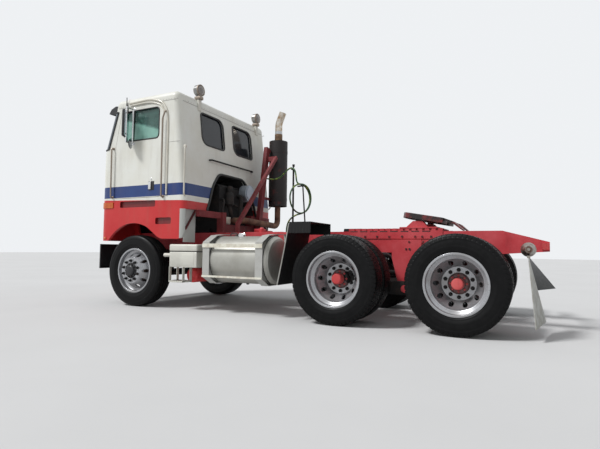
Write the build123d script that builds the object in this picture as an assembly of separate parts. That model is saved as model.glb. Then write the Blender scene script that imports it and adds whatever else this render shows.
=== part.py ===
from build123d import *
import os
from math import cos, radians, sin, tan

# Cab-over tractor unit with two driven rear axles. Millimetres, +X forward, +Y left, +Z up, ground at z = 0.
# Stations are measured forward from the rearmost axle. write() moves every piece so that x = 0 is mid-length.
origin_station = 2148

# Running gear
wheelbase = 3831
tandem_spacing = 1327
tyre_radius = 518
tyre_width = 276
bead_radius = 311
flange_radius = 324
rim_width = 235
wheel_bar = 12
disc_inset = 168
disc_thick = 22
dual_spacing = 336
front_wheel_y = 999
outer_wheel_y = 1078
hand_holes = 10
hand_hole_radius = 26
hand_hole_circle = 222
hub_bore = 112
hub_flange_radius = 165
drum_radius = 210
drum_inner_y = 650
drive_cap_y = 1078
front_drum_y = 925
front_cap_y = 1205
spindle_radius = 45
front_spindle_radius = 33
axle_tube_radius = 70
axle_tube_end = 640
seat_gap = 0.3

rear_station = 0
mid_station = rear_station + tandem_spacing
tandem_middle = (rear_station + mid_station) / 2
front_station = tandem_middle + wheelbase
inner_wheel_y = outer_wheel_y - dual_spacing
hub_z = tyre_radius

# Frame
rail_outer_y = 432
rail_flange = 85
rail_bar = 8
rail_low = 830
rail_high = 1090
rail_front = 5110
rail_tail = -860
tail_taper_start = -400
tail_high = 965
tail_low = 862
crossmember_gap = 14
deck_rear = 2400
deck_front = 3000
deck_thick = 6

# Engine and radiator
engine_rear = 3550
engine_front = 4900
engine_high = 1800
radiator_rear = 4970
radiator_front = 5080
gearbox_rear = 2750

# Cab shell
cab_half_width = 1155
cab_wall = 45
nose_station = 5210
nose_top = 2290
screen_top_station = 4990
screen_top = 2960
roof_front_station = 4965
roof_high = 3090
rear_wall_station = 3540
rear_wall_knee = 1560
rear_wall_rake = 0.118
front_low = 950
front_corner = 150
rear_corner = 90
roof_edge = 90
roof_split = 2960
front_split = 5035
skirt_low = 980
rear_wall_low = 1400
floor_low = 1400
floor_thick = 40
tunnel_high = 2000

# Doors
door_front = 4905
door_rear = 3965
door_low = 1580
door_high = 2935
door_knee = 2350
door_top_front = 4785
door_corner = 60
door_gap = 6
window_low = 2430
window_high = 2880
window_front = 4700
window_rear = 4042
glass_thick = 6
glass_depth = 20

# Cab hinge
hinge_station = 5075
hinge_z = 958
hinge_pin_radius = 25
hinge_pin_reach = 80

# Steering
kingpin_y = 855
kingpin_radius = 22
beam_boss_radius = 48
beam_boss_height = 110
arm_length = 200
arm_y = kingpin_y
ball_pin_radius = 12
kingpin_bore = 26

os.makedirs("parts", exist_ok=True)


def write(name, *solids):
    # One file for each node; several solids in a node don't touch each other.
    moved = [Pos(-origin_station, 0, 0) * solid for shape in solids for solid in shape.solids()]
    shape = moved[0] if len(moved) == 1 else Compound(children=moved)
    export_step(shape, f"parts/{name}.step")


def block(x, y, z):
    # A box from three (low, high) pairs.
    centre = Pos((x[0] + x[1]) / 2, (y[0] + y[1]) / 2, (z[0] + z[1]) / 2)
    return centre * Box(x[1] - x[0], y[1] - y[0], z[1] - z[0])


def outline(*points):
    return make_face(Polyline(*points, close=True))


def side_plate(face, y_low, y_high):
    # A face drawn in (station, z), as thick as y_low to y_high.
    plane = Plane(origin=(0, y_high, 0), x_dir=(1, 0, 0), z_dir=(0, -1, 0))
    return extrude(plane * face, y_high - y_low)


def cross_plate(face, x_low, x_high):
    # A face drawn in (y, z), as long as x_low to x_high.
    plane = Plane(origin=(x_low, 0, 0), x_dir=(0, 1, 0), z_dir=(1, 0, 0))
    return extrude(plane * face, x_high - x_low)


def level_plate(face, z_low, z_high):
    # A face drawn in (station, y), as high as z_low to z_high.
    return extrude(Plane(origin=(0, 0, z_low)) * face, z_high - z_low)


def rod(start, end, radius):
    run = Vector(*end) - Vector(*start)
    return extrude(Plane(origin=start, z_dir=run) * Circle(radius), run.length)


def bar(start, end, width, height):
    # A straight rectangular bar whose width lies along y where it can.
    run = Vector(*end) - Vector(*start)
    plane = Plane(origin=start, x_dir=(0, 1, 0) if abs(run.Y) < run.length * 0.9 else (1, 0, 0), z_dir=run)
    return extrude(plane * Rectangle(width, height), run.length)


def turned(points, y_centre, side=1):
    # A closed (y, radius) outline turned about the wheel axis; side -1 turns its outer face to the right.
    placed = [(y_centre + side * y, radius) for y, radius in points]
    return revolve(Plane.YZ * outline(*placed), Axis.Y, 360)


def drum(start, end, radius, dome):
    # A drum that lies from start to end, its edges rounded by three chords to a quarter turn.
    run = Vector(*end) - Vector(*start)
    quarter = [radians(90 - 30 * i) for i in range(4)]
    near = [(dome * (1 - sin(a)), radius - dome * (1 - cos(a))) for a in quarter]
    beyond = [(run.length - along, high) for along, high in reversed(near)]
    plane = Plane(origin=start, x_dir=run, z_dir=run.cross(Vector(0, 0, 1)))
    return revolve(plane * outline((0, 0), *near, *beyond, (run.length, 0)), Axis(start, run), 360)


def ring(plane, radius, half_bar):
    # A ring in the plane; its bar has eight sides, each half_bar from the bar's middle.
    section = Plane(origin=plane.origin + plane.x_dir * radius, x_dir=plane.x_dir, z_dir=plane.y_dir)
    profile = RegularPolygon(half_bar, 8, major_radius=False, rotation=22.5)
    return revolve(section * profile, Axis(plane.origin, plane.z_dir), 360)


def other_side(shape):
    return mirror(shape, about=Plane.XZ)


def at_axle(shape, station):
    return Pos(station, 0, hub_z) * shape


def rear_wall_at(z):
    return rear_wall_station + rear_wall_rake * max(z - rear_wall_knee, 0)


def screen_at(z):
    share = (z - nose_top) / (screen_top - nose_top)
    return nose_station + (screen_top_station - nose_station) * share


def cab_form(inset=0.0, low=front_low):
    # The cab's outside as a solid, or the same form with every face moved in by inset.
    face = outline(
        (nose_station, low),
        (nose_station, nose_top),
        (screen_top_station, screen_top),
        (roof_front_station, roof_high),
        (rear_wall_at(roof_high), roof_high),
        (rear_wall_station, rear_wall_knee),
        (rear_wall_station, low),
    )
    if inset:
        face = offset(face, -inset, kind=Kind.INTERSECTION)
    half = cab_half_width - inset
    body = side_plate(face, -half, half)
    for ahead, radius in ((True, front_corner), (False, rear_corner)):
        upright = [e for e in body.edges() if abs(e.tangent_at(0.5).Z) > 0.5]
        corner = [e for e in upright if (e.center().X > front_station) == ahead]
        body = fillet(corner, radius - inset)
    top = body.faces().sort_by(Axis.Z)[-1]
    return fillet(top.edges(), roof_edge - inset)


# Cab shell, split where the panels meet
shell = cab_form() - cab_form(cab_wall, front_low - 2 * cab_wall)
inside = cab_form(cab_wall, front_low - 2 * cab_wall)
far = 6000
under_skirt = make_face(
    Polyline((3400, skirt_low + 110), (3552, skirt_low + 110), (3580, skirt_low + 20), (3640, skirt_low))
    + Line((3640, skirt_low), (3915, skirt_low))
    + ThreePointArc((3915, skirt_low), (4000, 1000), (4070, 1045))
    + Line((4070, 1045), (4215, 1143))
    + ThreePointArc((4215, 1143), (4560, 1204), (5005, front_low))
    + Polyline((5005, front_low), (5005, 800), (3400, 800), (3400, skirt_low + 110))
)
shell -= side_plate(under_skirt, -2 * cab_half_width, 2 * cab_half_width)
shell -= block((3400, rear_wall_at(rear_wall_low) + 2 * cab_wall), (cab_wall - cab_half_width, cab_half_width - cab_wall),
               (800, rear_wall_low))

roof_zone = block((3000, far), (-far, far), (roof_split, far))
nose_zone = side_plate(
    outline((front_split, 0), (front_split, door_knee), (4835, roof_split), (far, roof_split), (far, 0)), -far, far
)
rear_zone = side_plate(
    outline(
        (3000, 0),
        (rear_wall_station + rear_corner, 0),
        (rear_wall_station + rear_corner, rear_wall_knee),
        (rear_wall_at(roof_split) + rear_corner, roof_split),
        (3000, roof_split),
    ),
    -far,
    far,
)
middle = shell - roof_zone - nose_zone - rear_zone
roof = shell & roof_zone
front_wall = shell & nose_zone
rear_wall = shell & rear_zone

# Doors: one outline for the panel, grown by the gap for its opening
door_outline = outline(
    (door_rear, door_low),
    (door_front, door_low),
    (door_front, door_knee),
    (door_top_front, door_high),
    (door_rear, door_high),
)
door_round = [v for v in door_outline.vertices() if v.Y < door_low + 1 or v.X < door_rear + 1]
door_face = fillet(door_round, door_corner)
window_outline = outline(
    (window_rear, window_low), (window_front + 20, window_low), (window_front, window_high), (window_rear, window_high)
)
window_face = fillet(window_outline.vertices(), door_corner)
door_hole = side_plate(offset(door_face, door_gap, kind=Kind.INTERSECTION), 0, 2 * cab_half_width)
side_left = middle.solids().sort_by(Axis.Y)[-1] - door_hole

# Handhold and step recesses in the red skirt: station, z, length, height
skirt_recesses = [(4425, 1485, 700, 92), (3918, 1233, 290, 92)]
recess_depth = 30
for station, z, length, height in skirt_recesses:
    recess = side_plate(Pos(station, z) * RectangleRounded(length, height, 20), cab_half_width - recess_depth, far)
    side_left -= recess

# Door hinges: a barrel on the door turns between two on the side panel, all on one pin line
door_axis = (door_front + door_gap - 1, cab_half_width)
door_hinge_heights = [1760, 2240]
barrel_radius = 10
barrel_half = 30
barrel_gap = 2


def barrels(height, radius, ends):
    # Upright rods on the door's pin line, from each (low, high) pair about the hinge's height.
    return [rod((*door_axis, height + low), (*door_axis, height + high), radius) for low, high in ends]


door_left = side_plate(door_face, cab_half_width - cab_wall, cab_half_width) - side_plate(window_face, 0, far)
fixed_ends = [(barrel_half + barrel_gap, 2 * barrel_half), (-2 * barrel_half, -barrel_half - barrel_gap)]
clear_ends = [(barrel_half, 2 * barrel_half + barrel_gap), (-2 * barrel_half - barrel_gap, -barrel_half)]
for height in door_hinge_heights:
    for clear in barrels(height, barrel_radius + barrel_gap, [(-barrel_half - barrel_gap, barrel_half + barrel_gap)]):
        side_left -= clear
    for barrel in barrels(height, barrel_radius, fixed_ends):
        side_left += barrel
    for clear in barrels(height, barrel_radius + barrel_gap, clear_ends):
        door_left -= clear
    for barrel in barrels(height, barrel_radius, [(-barrel_half, barrel_half)]):
        door_left += barrel
side_right = other_side(side_left)
glass_high_y = cab_half_width - glass_depth
door_pane = side_plate(offset(window_face, -seat_gap), glass_high_y - glass_thick, glass_high_y)

# Front wall: windscreen in two panes, and a grille of long slots
screen_low = 2345
screen_high = 2895
screen_inner = 22
screen_outer = 985
screen_hole = side_plate(outline((4700, screen_low), (far, screen_low), (far, screen_high), (4700, screen_high)),
                         screen_inner, screen_outer)
front_wall -= screen_hole
front_wall -= other_side(screen_hole)
pane_low = screen_low + seat_gap
pane_high = screen_high - seat_gap
screen_pane = side_plate(
    outline(
        (screen_at(pane_low) - glass_depth, pane_low),
        (screen_at(pane_high) - glass_depth, pane_high),
        (screen_at(pane_high) - glass_depth - glass_thick, pane_high),
        (screen_at(pane_low) - glass_depth - glass_thick, pane_low),
    ),
    screen_inner + seat_gap,
    screen_outer - seat_gap,
)
grille_slots = 9
grille_pitch = 82
grille_slot = 52
grille_low = 1040
grille_half = 480
grille_post = 40
for row in range(grille_slots):
    z = grille_low + row * grille_pitch
    for side in (1, -1):
        ends = sorted((side * grille_post / 2, side * grille_half))
        front_wall -= block((nose_station - 2 * cab_wall, far), ends, (z, z + grille_slot))

# Hinge lugs under the front wall, bored for the frame's pins
lug_low_y = rail_outer_y + 26
lug_high_y = lug_low_y + 40
lug = side_plate(
    outline(
        (hinge_station - 45, hinge_z - 45),
        (hinge_station + 45, hinge_z - 45),
        (nose_station - cab_wall, hinge_z + 40),
        (nose_station - cab_wall, hinge_z + 300),
        (nose_station - cab_wall - 60, hinge_z + 300),
        (hinge_station - 45, hinge_z + 60),
    ),
    lug_low_y,
    lug_high_y,
)
lug -= rod((hinge_station, lug_low_y - 1, hinge_z), (hinge_station, lug_high_y + 1, hinge_z), hinge_pin_radius + 0.5)
front_wall += lug
front_wall += other_side(lug)

# Rear wall: two windows of one pattern and the tunnel's mouth
rear_window_y = [130, -675]
rear_window_width = 545
rear_window_low = 2405
rear_window_high = 2885
big_corner = 120
small_corner = 55
tunnel_points = [(670, floor_low), (600, 1580), (500, 1800), (330, tunnel_high)]
tunnel_face = outline(*tunnel_points, *[(-y, z) for y, z in reversed(tunnel_points)])
tunnel_mouth = outline((670, 1000), *tunnel_points, *[(-y, z) for y, z in reversed(tunnel_points)], (-670, 1000))
rear_glass = []


def rear_window(low_y):
    # The window's outline in (y, z): large corners on one diagonal and small ones on the other.
    y_ends = (low_y, low_y + rear_window_width)
    z_ends = (rear_window_low, rear_window_high)
    face = outline(*[(y_ends[i], z_ends[j]) for i, j in ((0, 0), (1, 0), (1, 1), (0, 1))])
    falling = sorted(face.vertices(), key=lambda v: v.X - v.Y)
    face = fillet([falling[0], falling[-1]], big_corner)
    rising = sorted(face.vertices(), key=lambda v: v.X + v.Y)
    return fillet([rising[0], rising[-1]], small_corner)


def wall_slab(depth, thick):
    # A sheet that follows the raked rear wall at a depth under its outer face.
    low, high = rear_window_low - 100, rear_window_high + 100
    return side_plate(
        outline(
            (rear_wall_at(low) + depth, low),
            (rear_wall_at(high) + depth, high),
            (rear_wall_at(high) + depth + thick, high),
            (rear_wall_at(low) + depth + thick, low),
        ),
        -cab_half_width,
        cab_half_width,
    )


for low_y in rear_window_y:
    face = rear_window(low_y)
    rear_wall -= cross_plate(face, 3000, 4000)
    rear_glass.append(cross_plate(offset(face, -seat_gap), 3400, 4000) & wall_slab(glass_depth, glass_thick))
rear_wall -= cross_plate(tunnel_mouth, 3000, 4000)

# Splash plates that close the wheel houses behind the front wheels
splash_inner = 870
splash_thick = 10
splash_low = 935
splash_station = rear_wall_station + cab_wall - 8
splash = block(
    (splash_station, splash_station + splash_thick), (splash_inner, cab_half_width - cab_wall), (splash_low, floor_low)
)
rear_wall += splash
rear_wall += other_side(splash)

# Floor with the engine tunnel, cut to the inside of the shell
tunnel_wall = 36
tunnel_outer = offset(tunnel_face, tunnel_wall, kind=Kind.INTERSECTION)
floor_span = cab_half_width - cab_wall
floor_section = outline(
    (-floor_span, floor_low), (floor_span, floor_low), (floor_span, floor_low + floor_thick),
    (-floor_span, floor_low + floor_thick)
) + (tunnel_outer & outline((-floor_span, floor_low), (floor_span, floor_low), (floor_span, 2500), (-floor_span, 2500)))
floor_section -= tunnel_face
cab_floor = cross_plate(floor_section, 3400, far) & inside

# Dashboard, seats and steering wheel
dash_low = tunnel_high + tunnel_wall
dash_back = 4880
dashboard = side_plate(
    outline((far, dash_low), (dash_back, dash_low), (dash_back - 10, dash_low + 160), (5060, dash_low + 230),
            (far, dash_low + 230)),
    -floor_span,
    floor_span,
) & inside
seat_y = cab_half_width - 365
seat_half = 235
floor_top = floor_low + floor_thick
seat_left = block((4090, 4400), (seat_y - 80, seat_y + 200), (floor_top, 1800))
cushion = side_plate(
    outline((4010, 1800), (4480, 1800), (4490, 1900), (4440, 1935), (4150, 1915), (4035, 2600), (3930, 2590), (3990, 1900)),
    seat_y - seat_half,
    seat_y + seat_half,
)
seat_left += cushion
wheel_centre = (4610, 800, 2165)
column_foot = (4955, 800, floor_top)
steer_ring = 228
steer_bar = 14
column_run = Vector(*column_foot) - Vector(*wheel_centre)
ring_plane = Plane(origin=wheel_centre, x_dir=(0, 1, 0), z_dir=column_run)
steering_wheel = ring(ring_plane, steer_ring, steer_bar)
steering_wheel += ring_plane * Cylinder(55, 30)
for turn in (90, 210, 330):
    steering_wheel += ring_plane * Rot(0, 0, turn) * Pos(steer_ring / 2, 0, 0) * Box(steer_ring, 26, 10)
column = extrude(ring_plane * Circle(26), column_run.length + 60) & block((4000, 5100), (0, 1100), (floor_top, 2400))
steering_wheel += column

# Sun visor, roof lamps and front lamps
visor_bar = 9
visor_half = 1000
visor_top = [(4960, 3048), (5110, 3066), (5200, 3030), (5250, 2962)]
visor_under = [(5241, 2956), (5192, 3020), (5108, 3055), (4960, 3037)]
visor = side_plate(outline(*visor_top, *visor_under), -visor_half, visor_half)
visor_end = side_plate(outline(*visor_top, (5110, 2933), (4960, 2950)), visor_half, visor_half + visor_bar)
visor += visor_end
visor += other_side(visor_end)
visor -= cab_form()
lamp_y = [700, -880]
lamp_radius = 86
lamp_z = roof_high + 31 + lamp_radius
lamp_depth = 70
lamp_back = rear_wall_at(roof_split) + 40
stand_low = roof_split - 60
stand_half = 32
work_lamps = []
for y in lamp_y:
    stand = block((lamp_back - 70, lamp_back - 10), (y - stand_half, y + stand_half), (stand_low, lamp_z)) - cab_form()
    stand &= block((rear_wall_at(stand_low) - 12, far), (-far, far), (stand_low, far))
    work_lamps.append(stand + rod((lamp_back - lamp_depth, y, lamp_z), (lamp_back, y, lamp_z), lamp_radius))
head_lamp_y = 760
head_lamp_z = 1210
head_lamp_bezel = 26
head_lens_radius = 80
head_lens_proud = 12
head_lamp = cross_plate(
    Pos(head_lamp_y, head_lamp_z) * RectangleRounded(380, 190, 30), nose_station, nose_station + head_lamp_bezel
)
for y in (head_lamp_y - 92, head_lamp_y + 92):
    head_lamp += rod(
        (nose_station + 10, y, head_lamp_z), (nose_station + head_lamp_bezel + head_lens_proud, y, head_lamp_z),
        head_lens_radius
    )
lens_low = 1440
lens_high = 1525
lens_rear = 4915
lens_thick = 12
corner_lamp = cab_form(-lens_thick) - cab_form(-seat_gap)
corner_lamp &= block((lens_rear, far), (cab_half_width - 255, far), (lens_low, lens_high))

# Wheels: one rim outline, (y, radius), whose disc lies disc_inset towards -y; front wheels wear it turned round
half_rim = rim_width / 2
disc_face = -disc_inset
rim_outline = [
    (half_rim, flange_radius),
    (half_rim - 9, flange_radius),
    (half_rim - 9, bead_radius),
    (62, bead_radius),
    (36, bead_radius - 39),
    (-36, bead_radius - 39),
    (-62, bead_radius),
    (9 - half_rim, bead_radius),
    (9 - half_rim, flange_radius),
    (-half_rim, flange_radius),
    (-half_rim, bead_radius - wheel_bar),
    (-56, bead_radius - wheel_bar),
    (-40, bead_radius - 39 - wheel_bar),
    (disc_face, 184),
    (disc_face, hub_bore),
    (disc_face + disc_thick, hub_bore),
    (disc_face + disc_thick, 176),
    (-14, bead_radius - 39 - wheel_bar),
    (28, bead_radius - 39 - wheel_bar),
    (50, bead_radius - wheel_bar),
    (half_rim, bead_radius - wheel_bar),
]
inner_rim_outline = [
    (half_rim, flange_radius),
    (half_rim - 9, flange_radius),
    (half_rim - 9, bead_radius),
    (9 - half_rim, bead_radius),
    (9 - half_rim, flange_radius),
    (-half_rim, flange_radius),
    (-half_rim, bead_radius - wheel_bar),
    (-62, bead_radius - wheel_bar),
    (disc_face, 184),
    (disc_face, hub_bore),
    (disc_face + disc_thick, hub_bore),
    (disc_face + disc_thick, 176),
    (-30, bead_radius - wheel_bar),
    (half_rim, bead_radius - wheel_bar),
]
half_tyre = tyre_width / 2
tyre_outline = [
    (-half_rim + 17, bead_radius + seat_gap),
    (-half_tyre, 405),
    (-half_tyre + 26, tyre_radius),
    (half_tyre - 26, tyre_radius),
    (half_tyre, 405),
    (half_rim - 17, bead_radius + seat_gap),
]
# Hub and brake drum outlines as (y, radius), measured from the axle's middle
drive_disc_y = outer_wheel_y - disc_inset
drive_hub_outline = [
    (drum_inner_y, drum_radius),
    (drive_disc_y - disc_thick - 20, drum_radius),
    (drive_disc_y - disc_thick - 20, hub_flange_radius),
    (drive_disc_y - disc_thick, hub_flange_radius),
    (drive_disc_y - disc_thick, hub_bore),
    (drive_disc_y + disc_thick, hub_bore),
    (drive_disc_y + disc_thick, 98),
    (drive_disc_y + disc_thick + 24, 98),
    (drive_disc_y + disc_thick + 24, 70),
    (drive_cap_y, 62),
    (drive_cap_y, 0),
    (drive_disc_y, 0),
    (drive_disc_y, spindle_radius + 1),
    (drum_inner_y, spindle_radius + 1),
]
front_disc_y = front_wheel_y + disc_inset
front_hub_outline = [
    (front_drum_y, drum_radius - 5),
    (front_disc_y - disc_thick - 33, drum_radius - 5),
    (front_disc_y - disc_thick - 33, hub_flange_radius),
    (front_disc_y - disc_thick, hub_flange_radius),
    (front_disc_y - disc_thick, hub_bore),
    (front_disc_y, hub_bore),
    (front_disc_y, 78),
    (front_cap_y, 64),
    (front_cap_y, 0),
    (front_disc_y - 10, 0),
    (front_disc_y - 10, front_spindle_radius + 1),
    (front_drum_y, front_spindle_radius + 1),
]


def wheel(profile, centre_y, side, holes):
    # A disc wheel with its hand holes, axis along y through z = 0.
    shape = turned(profile, centre_y, side)
    for i in range(holes):
        turn = 360 * i / hand_holes
        at = (hand_hole_circle * cos(radians(turn)), hand_hole_circle * sin(radians(turn)))
        shape -= rod((at[0], centre_y - side * half_rim * 2, at[1]), (at[0], centre_y, at[1]), hand_hole_radius)
    return shape


front_wheel = at_axle(wheel(rim_outline, front_wheel_y, -1, hand_holes) + turned(front_hub_outline, 0), front_station)
front_tyre = at_axle(turned(tyre_outline, front_wheel_y), front_station)
drive_wheels = wheel(rim_outline, outer_wheel_y, 1, hand_holes) + wheel(inner_rim_outline, inner_wheel_y, -1, 0)
drive_wheels += turned(drive_hub_outline, 0)
write("wheel_front_left", front_wheel)
write("wheel_front_right", other_side(front_wheel))
write("tyre_front_left", front_tyre)
write("tyre_front_right", other_side(front_tyre))
for name, station in (("mid", mid_station), ("rear", rear_station)):
    wheels = at_axle(drive_wheels, station)
    tyres = [at_axle(turned(tyre_outline, y), station) for y in (outer_wheel_y, inner_wheel_y)]
    write(f"wheels_{name}_left", wheels)
    write(f"wheels_{name}_right", other_side(wheels))
    write(f"tyres_{name}_left", *tyres)
    write(f"tyres_{name}_right", *[other_side(tyre) for tyre in tyres])

# Frame: two channel rails whose tails taper, with the cab's hinge pins
rail_outline = outline(
    (rail_tail, tail_low),
    (rail_tail, tail_high),
    (tail_taper_start, rail_high),
    (rail_front, rail_high),
    (rail_front, rail_low),
    (tail_taper_start, rail_low),
)
rail_pocket = outline(
    (rail_tail - 60, tail_low + rail_bar - 4),
    (rail_tail - 60, tail_high - rail_bar - 16),
    (tail_taper_start + 1, rail_high - rail_bar),
    (rail_front + 60, rail_high - rail_bar),
    (rail_front + 60, rail_low + rail_bar),
    (tail_taper_start - 1, rail_low + rail_bar),
)
web_y = rail_outer_y - rail_bar
rail = side_plate(rail_outline, rail_outer_y - rail_flange, rail_outer_y)
rail -= side_plate(rail_pocket, 0, web_y)
rail += rod((hinge_station, web_y, hinge_z), (hinge_station, rail_outer_y + hinge_pin_reach, hinge_z), hinge_pin_radius)
write("frame_rails", rail, other_side(rail))

# Crossmembers between the webs: rear face, front face, bottom, top
crossmember_low = rail_low + crossmember_gap
crossmember_high = rail_high - crossmember_gap
crossmember_table = [
    (4960, 5090, crossmember_low, 965),
    (2460, 2540, crossmember_low, crossmember_high),
    (1700, 1780, crossmember_low, crossmember_high),
    (tandem_middle - 40, tandem_middle + 40, crossmember_low, crossmember_high),
    (-150, -80, crossmember_low, crossmember_high),
    (-845, -795, tail_low + 16, tail_high - 26),
]
channel_bar = 10
crossmembers = []
for rear, front, low, high in crossmember_table:
    member = block((rear, front), (-web_y, web_y), (low, high))
    member -= block((rear - 1, front - channel_bar), (-far, far), (low + channel_bar, high - channel_bar))
    crossmembers.append(member)
deck = block((deck_rear, deck_front), (-rail_outer_y, rail_outer_y), (rail_high, rail_high + deck_thick))
write("crossmembers", deck, *crossmembers)

# Engine, radiator and driveline, each a plain block at its real size and place
engine = block((engine_rear, engine_front), (-330, 330), (620, 1100))
engine += block((engine_rear, engine_front), (-360, 360), (1100, engine_high))
engine -= block((engine_rear - 1, engine_rear + 300), (-400, -250), (1550, engine_high + 1))
for side in (1, -1):
    for station in (3750, 4650):
        foot = sorted((side * 340, side * 420))
        engine += block((station - 60, station + 60), foot, (rail_high, rail_high + 50))
write("engine", engine)
radiator = block((radiator_rear, radiator_front), (-335, 335), (965, 1800))
radiator += block((radiator_rear - 10, radiator_front + 10), (-335, 335), (1720, 1800))
radiator += block((radiator_rear - 10, radiator_front + 10), (-335, 335), (965, 1030))
write("radiator", radiator)
gearbox = side_plate(
    outline((engine_rear, 620), (engine_rear, 1050), (3250, 1030), (gearbox_rear, 900), (gearbox_rear, 700), (3250, 640)),
    -240,
    240,
)
nose_reach = 235
housing_half = 145
gearbox += rod((gearbox_rear, 0, 800), (mid_station + nose_reach, 0, 600), 48)
gearbox &= block((mid_station + nose_reach + seat_gap, far), (-far, far), (0, far))
interaxle = rod((mid_station - housing_half + 20, 0, 560), (rear_station + nose_reach - 20, 0, 545), 42)
interaxle &= block(
    (rear_station + nose_reach + seat_gap, mid_station - housing_half - seat_gap), (-far, far), (0, far)
)
write("driveline", gearbox, interaxle)

# Drive axles: tube, spindles, brake plates and the drive's housing
axle = rod((0, -axle_tube_end, 0), (0, axle_tube_end, 0), axle_tube_radius)
axle += rod((0, -drive_disc_y + 15, 0), (0, drive_disc_y - 15, 0), spindle_radius)
axle += rod((-housing_half, 0, 0), (housing_half, 0, 0), 215)
axle += rod((housing_half, 0, 40), (nose_reach, 0, 40), 120)
for side in (1, -1):
    axle += rod((0, side * (drum_inner_y - 25), 0), (0, side * (drum_inner_y - 10), 0), drum_radius - 10)
write("axles_rear", at_axle(axle, mid_station), at_axle(axle, rear_station))

# Front axle beam with its spring pads and kingpin bosses
beam_half = 50
beam_low = 420
beam_high = 520
pad_y = (rail_outer_y + rail_outer_y - rail_flange) / 2
pad_high = 570
beam_side = [(0, beam_low), (600, beam_low), (780, 468), (kingpin_y - 20, 468)]
beam_side += [(kingpin_y - 20, 568), (780, 568), (600, beam_high), (0, beam_high)]
beam = cross_plate(outline(*beam_side), front_station - beam_half, front_station + beam_half)
beam -= cross_plate(
    outline((-1, beam_low + 22), (590, beam_low + 22), (590, beam_high - 22), (-1, beam_high - 22)),
    front_station - 2 * beam_half,
    front_station - 14,
)
beam -= cross_plate(
    outline((-1, beam_low + 22), (590, beam_low + 22), (590, beam_high - 22), (-1, beam_high - 22)),
    front_station + 14,
    front_station + 2 * beam_half,
)
beam += block((front_station - 60, front_station + 60), (pad_y - 50, pad_y + 50), (beam_high, pad_high))
boss_low = hub_z - beam_boss_height / 2
boss_high = hub_z + beam_boss_height / 2
beam += rod((front_station, kingpin_y, boss_low), (front_station, kingpin_y, boss_high), beam_boss_radius)
beam -= rod((front_station, kingpin_y, 0), (front_station, kingpin_y, 1000), kingpin_radius + seat_gap)
write("axle_front", beam + other_side(beam))

# Front leaf springs with their frame brackets
spring_half_width = 38
spring_thick = 36
spring_eye_z = 715
spring_front = 5000
spring_rear = 3960
spring_middle = (spring_front + spring_rear) / 2
leaf = make_face(
    ThreePointArc((spring_rear, spring_eye_z), (spring_middle, pad_high + seat_gap), (spring_front, spring_eye_z))
    + Line((spring_front, spring_eye_z), (spring_front, spring_eye_z + spring_thick))
    + ThreePointArc(
        (spring_front, spring_eye_z + spring_thick),
        (spring_middle, pad_high + seat_gap + spring_thick),
        (spring_rear, spring_eye_z + spring_thick),
    )
    + Line((spring_rear, spring_eye_z + spring_thick), (spring_rear, spring_eye_z))
)
spring = side_plate(leaf, pad_y - spring_half_width, pad_y + spring_half_width)
for station in (spring_front, spring_rear):
    eye_z = spring_eye_z + spring_thick / 2
    hanger = outline(
        (station - 60, rail_low), (station + 60, rail_low), (station + 28, eye_z - 25), (station - 28, eye_z - 25)
    )
    spring += side_plate(hanger, pad_y - spring_half_width, pad_y + spring_half_width)
write("springs_front", spring, other_side(spring))

# Steering knuckle: yoke round the beam's boss, brake plate, spindle, arm and ball pin
yoke_half = 42
yoke_inner = kingpin_y - yoke_half
yoke_outer = front_drum_y - 5
knuckle_low = boss_low - 39
knuckle_high = boss_high + 39
knuckle = block((front_station - yoke_half, front_station + yoke_half), (yoke_outer - 14, yoke_outer), (knuckle_low, knuckle_high))
for low, high in ((knuckle_low, boss_low - 1), (boss_high + 1, knuckle_high)):
    knuckle += block((front_station - yoke_half, front_station + yoke_half), (kingpin_y, yoke_outer), (low, high))
    knuckle += rod((front_station, kingpin_y, low), (front_station, kingpin_y, high), yoke_half)
knuckle += rod((front_station, kingpin_y, knuckle_low), (front_station, kingpin_y, knuckle_high), kingpin_radius)
knuckle += rod((front_station, yoke_outer - 8, hub_z), (front_station, yoke_outer, hub_z), drum_radius - 25)
knuckle += rod((front_station, yoke_outer, hub_z), (front_station, front_disc_y - 20, hub_z), front_spindle_radius)
arm_face = outline(
    (front_station - 20, kingpin_y + 36),
    (front_station - 20, kingpin_y - 36),
    (front_station - arm_length, arm_y - 22),
    (front_station - arm_length, arm_y + 22),
)
arm_high = knuckle_low + 24
knuckle += level_plate(arm_face, knuckle_low, arm_high)
ball_at = (front_station - arm_length, arm_y)
knuckle += rod((*ball_at, knuckle_low), (*ball_at, arm_high), 24)
knuckle += rod((*ball_at, arm_high), (*ball_at, arm_high + 44), ball_pin_radius)
write("knuckle_left", knuckle)
write("knuckle_right", other_side(knuckle))

# Tie rod with an eye round each ball pin
tie_z = arm_high + 22
tie_rod = rod((ball_at[0], -arm_y, tie_z), (ball_at[0], arm_y, tie_z), 21)
for side in (1, -1):
    tie_rod += rod((ball_at[0], side * arm_y, tie_z - 20), (ball_at[0], side * arm_y, tie_z + 20), 30)
    tie_rod -= rod((ball_at[0], side * arm_y, 0), (ball_at[0], side * arm_y, 1000), ball_pin_radius + 1)
write("tie_rod", tie_rod)

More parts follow.
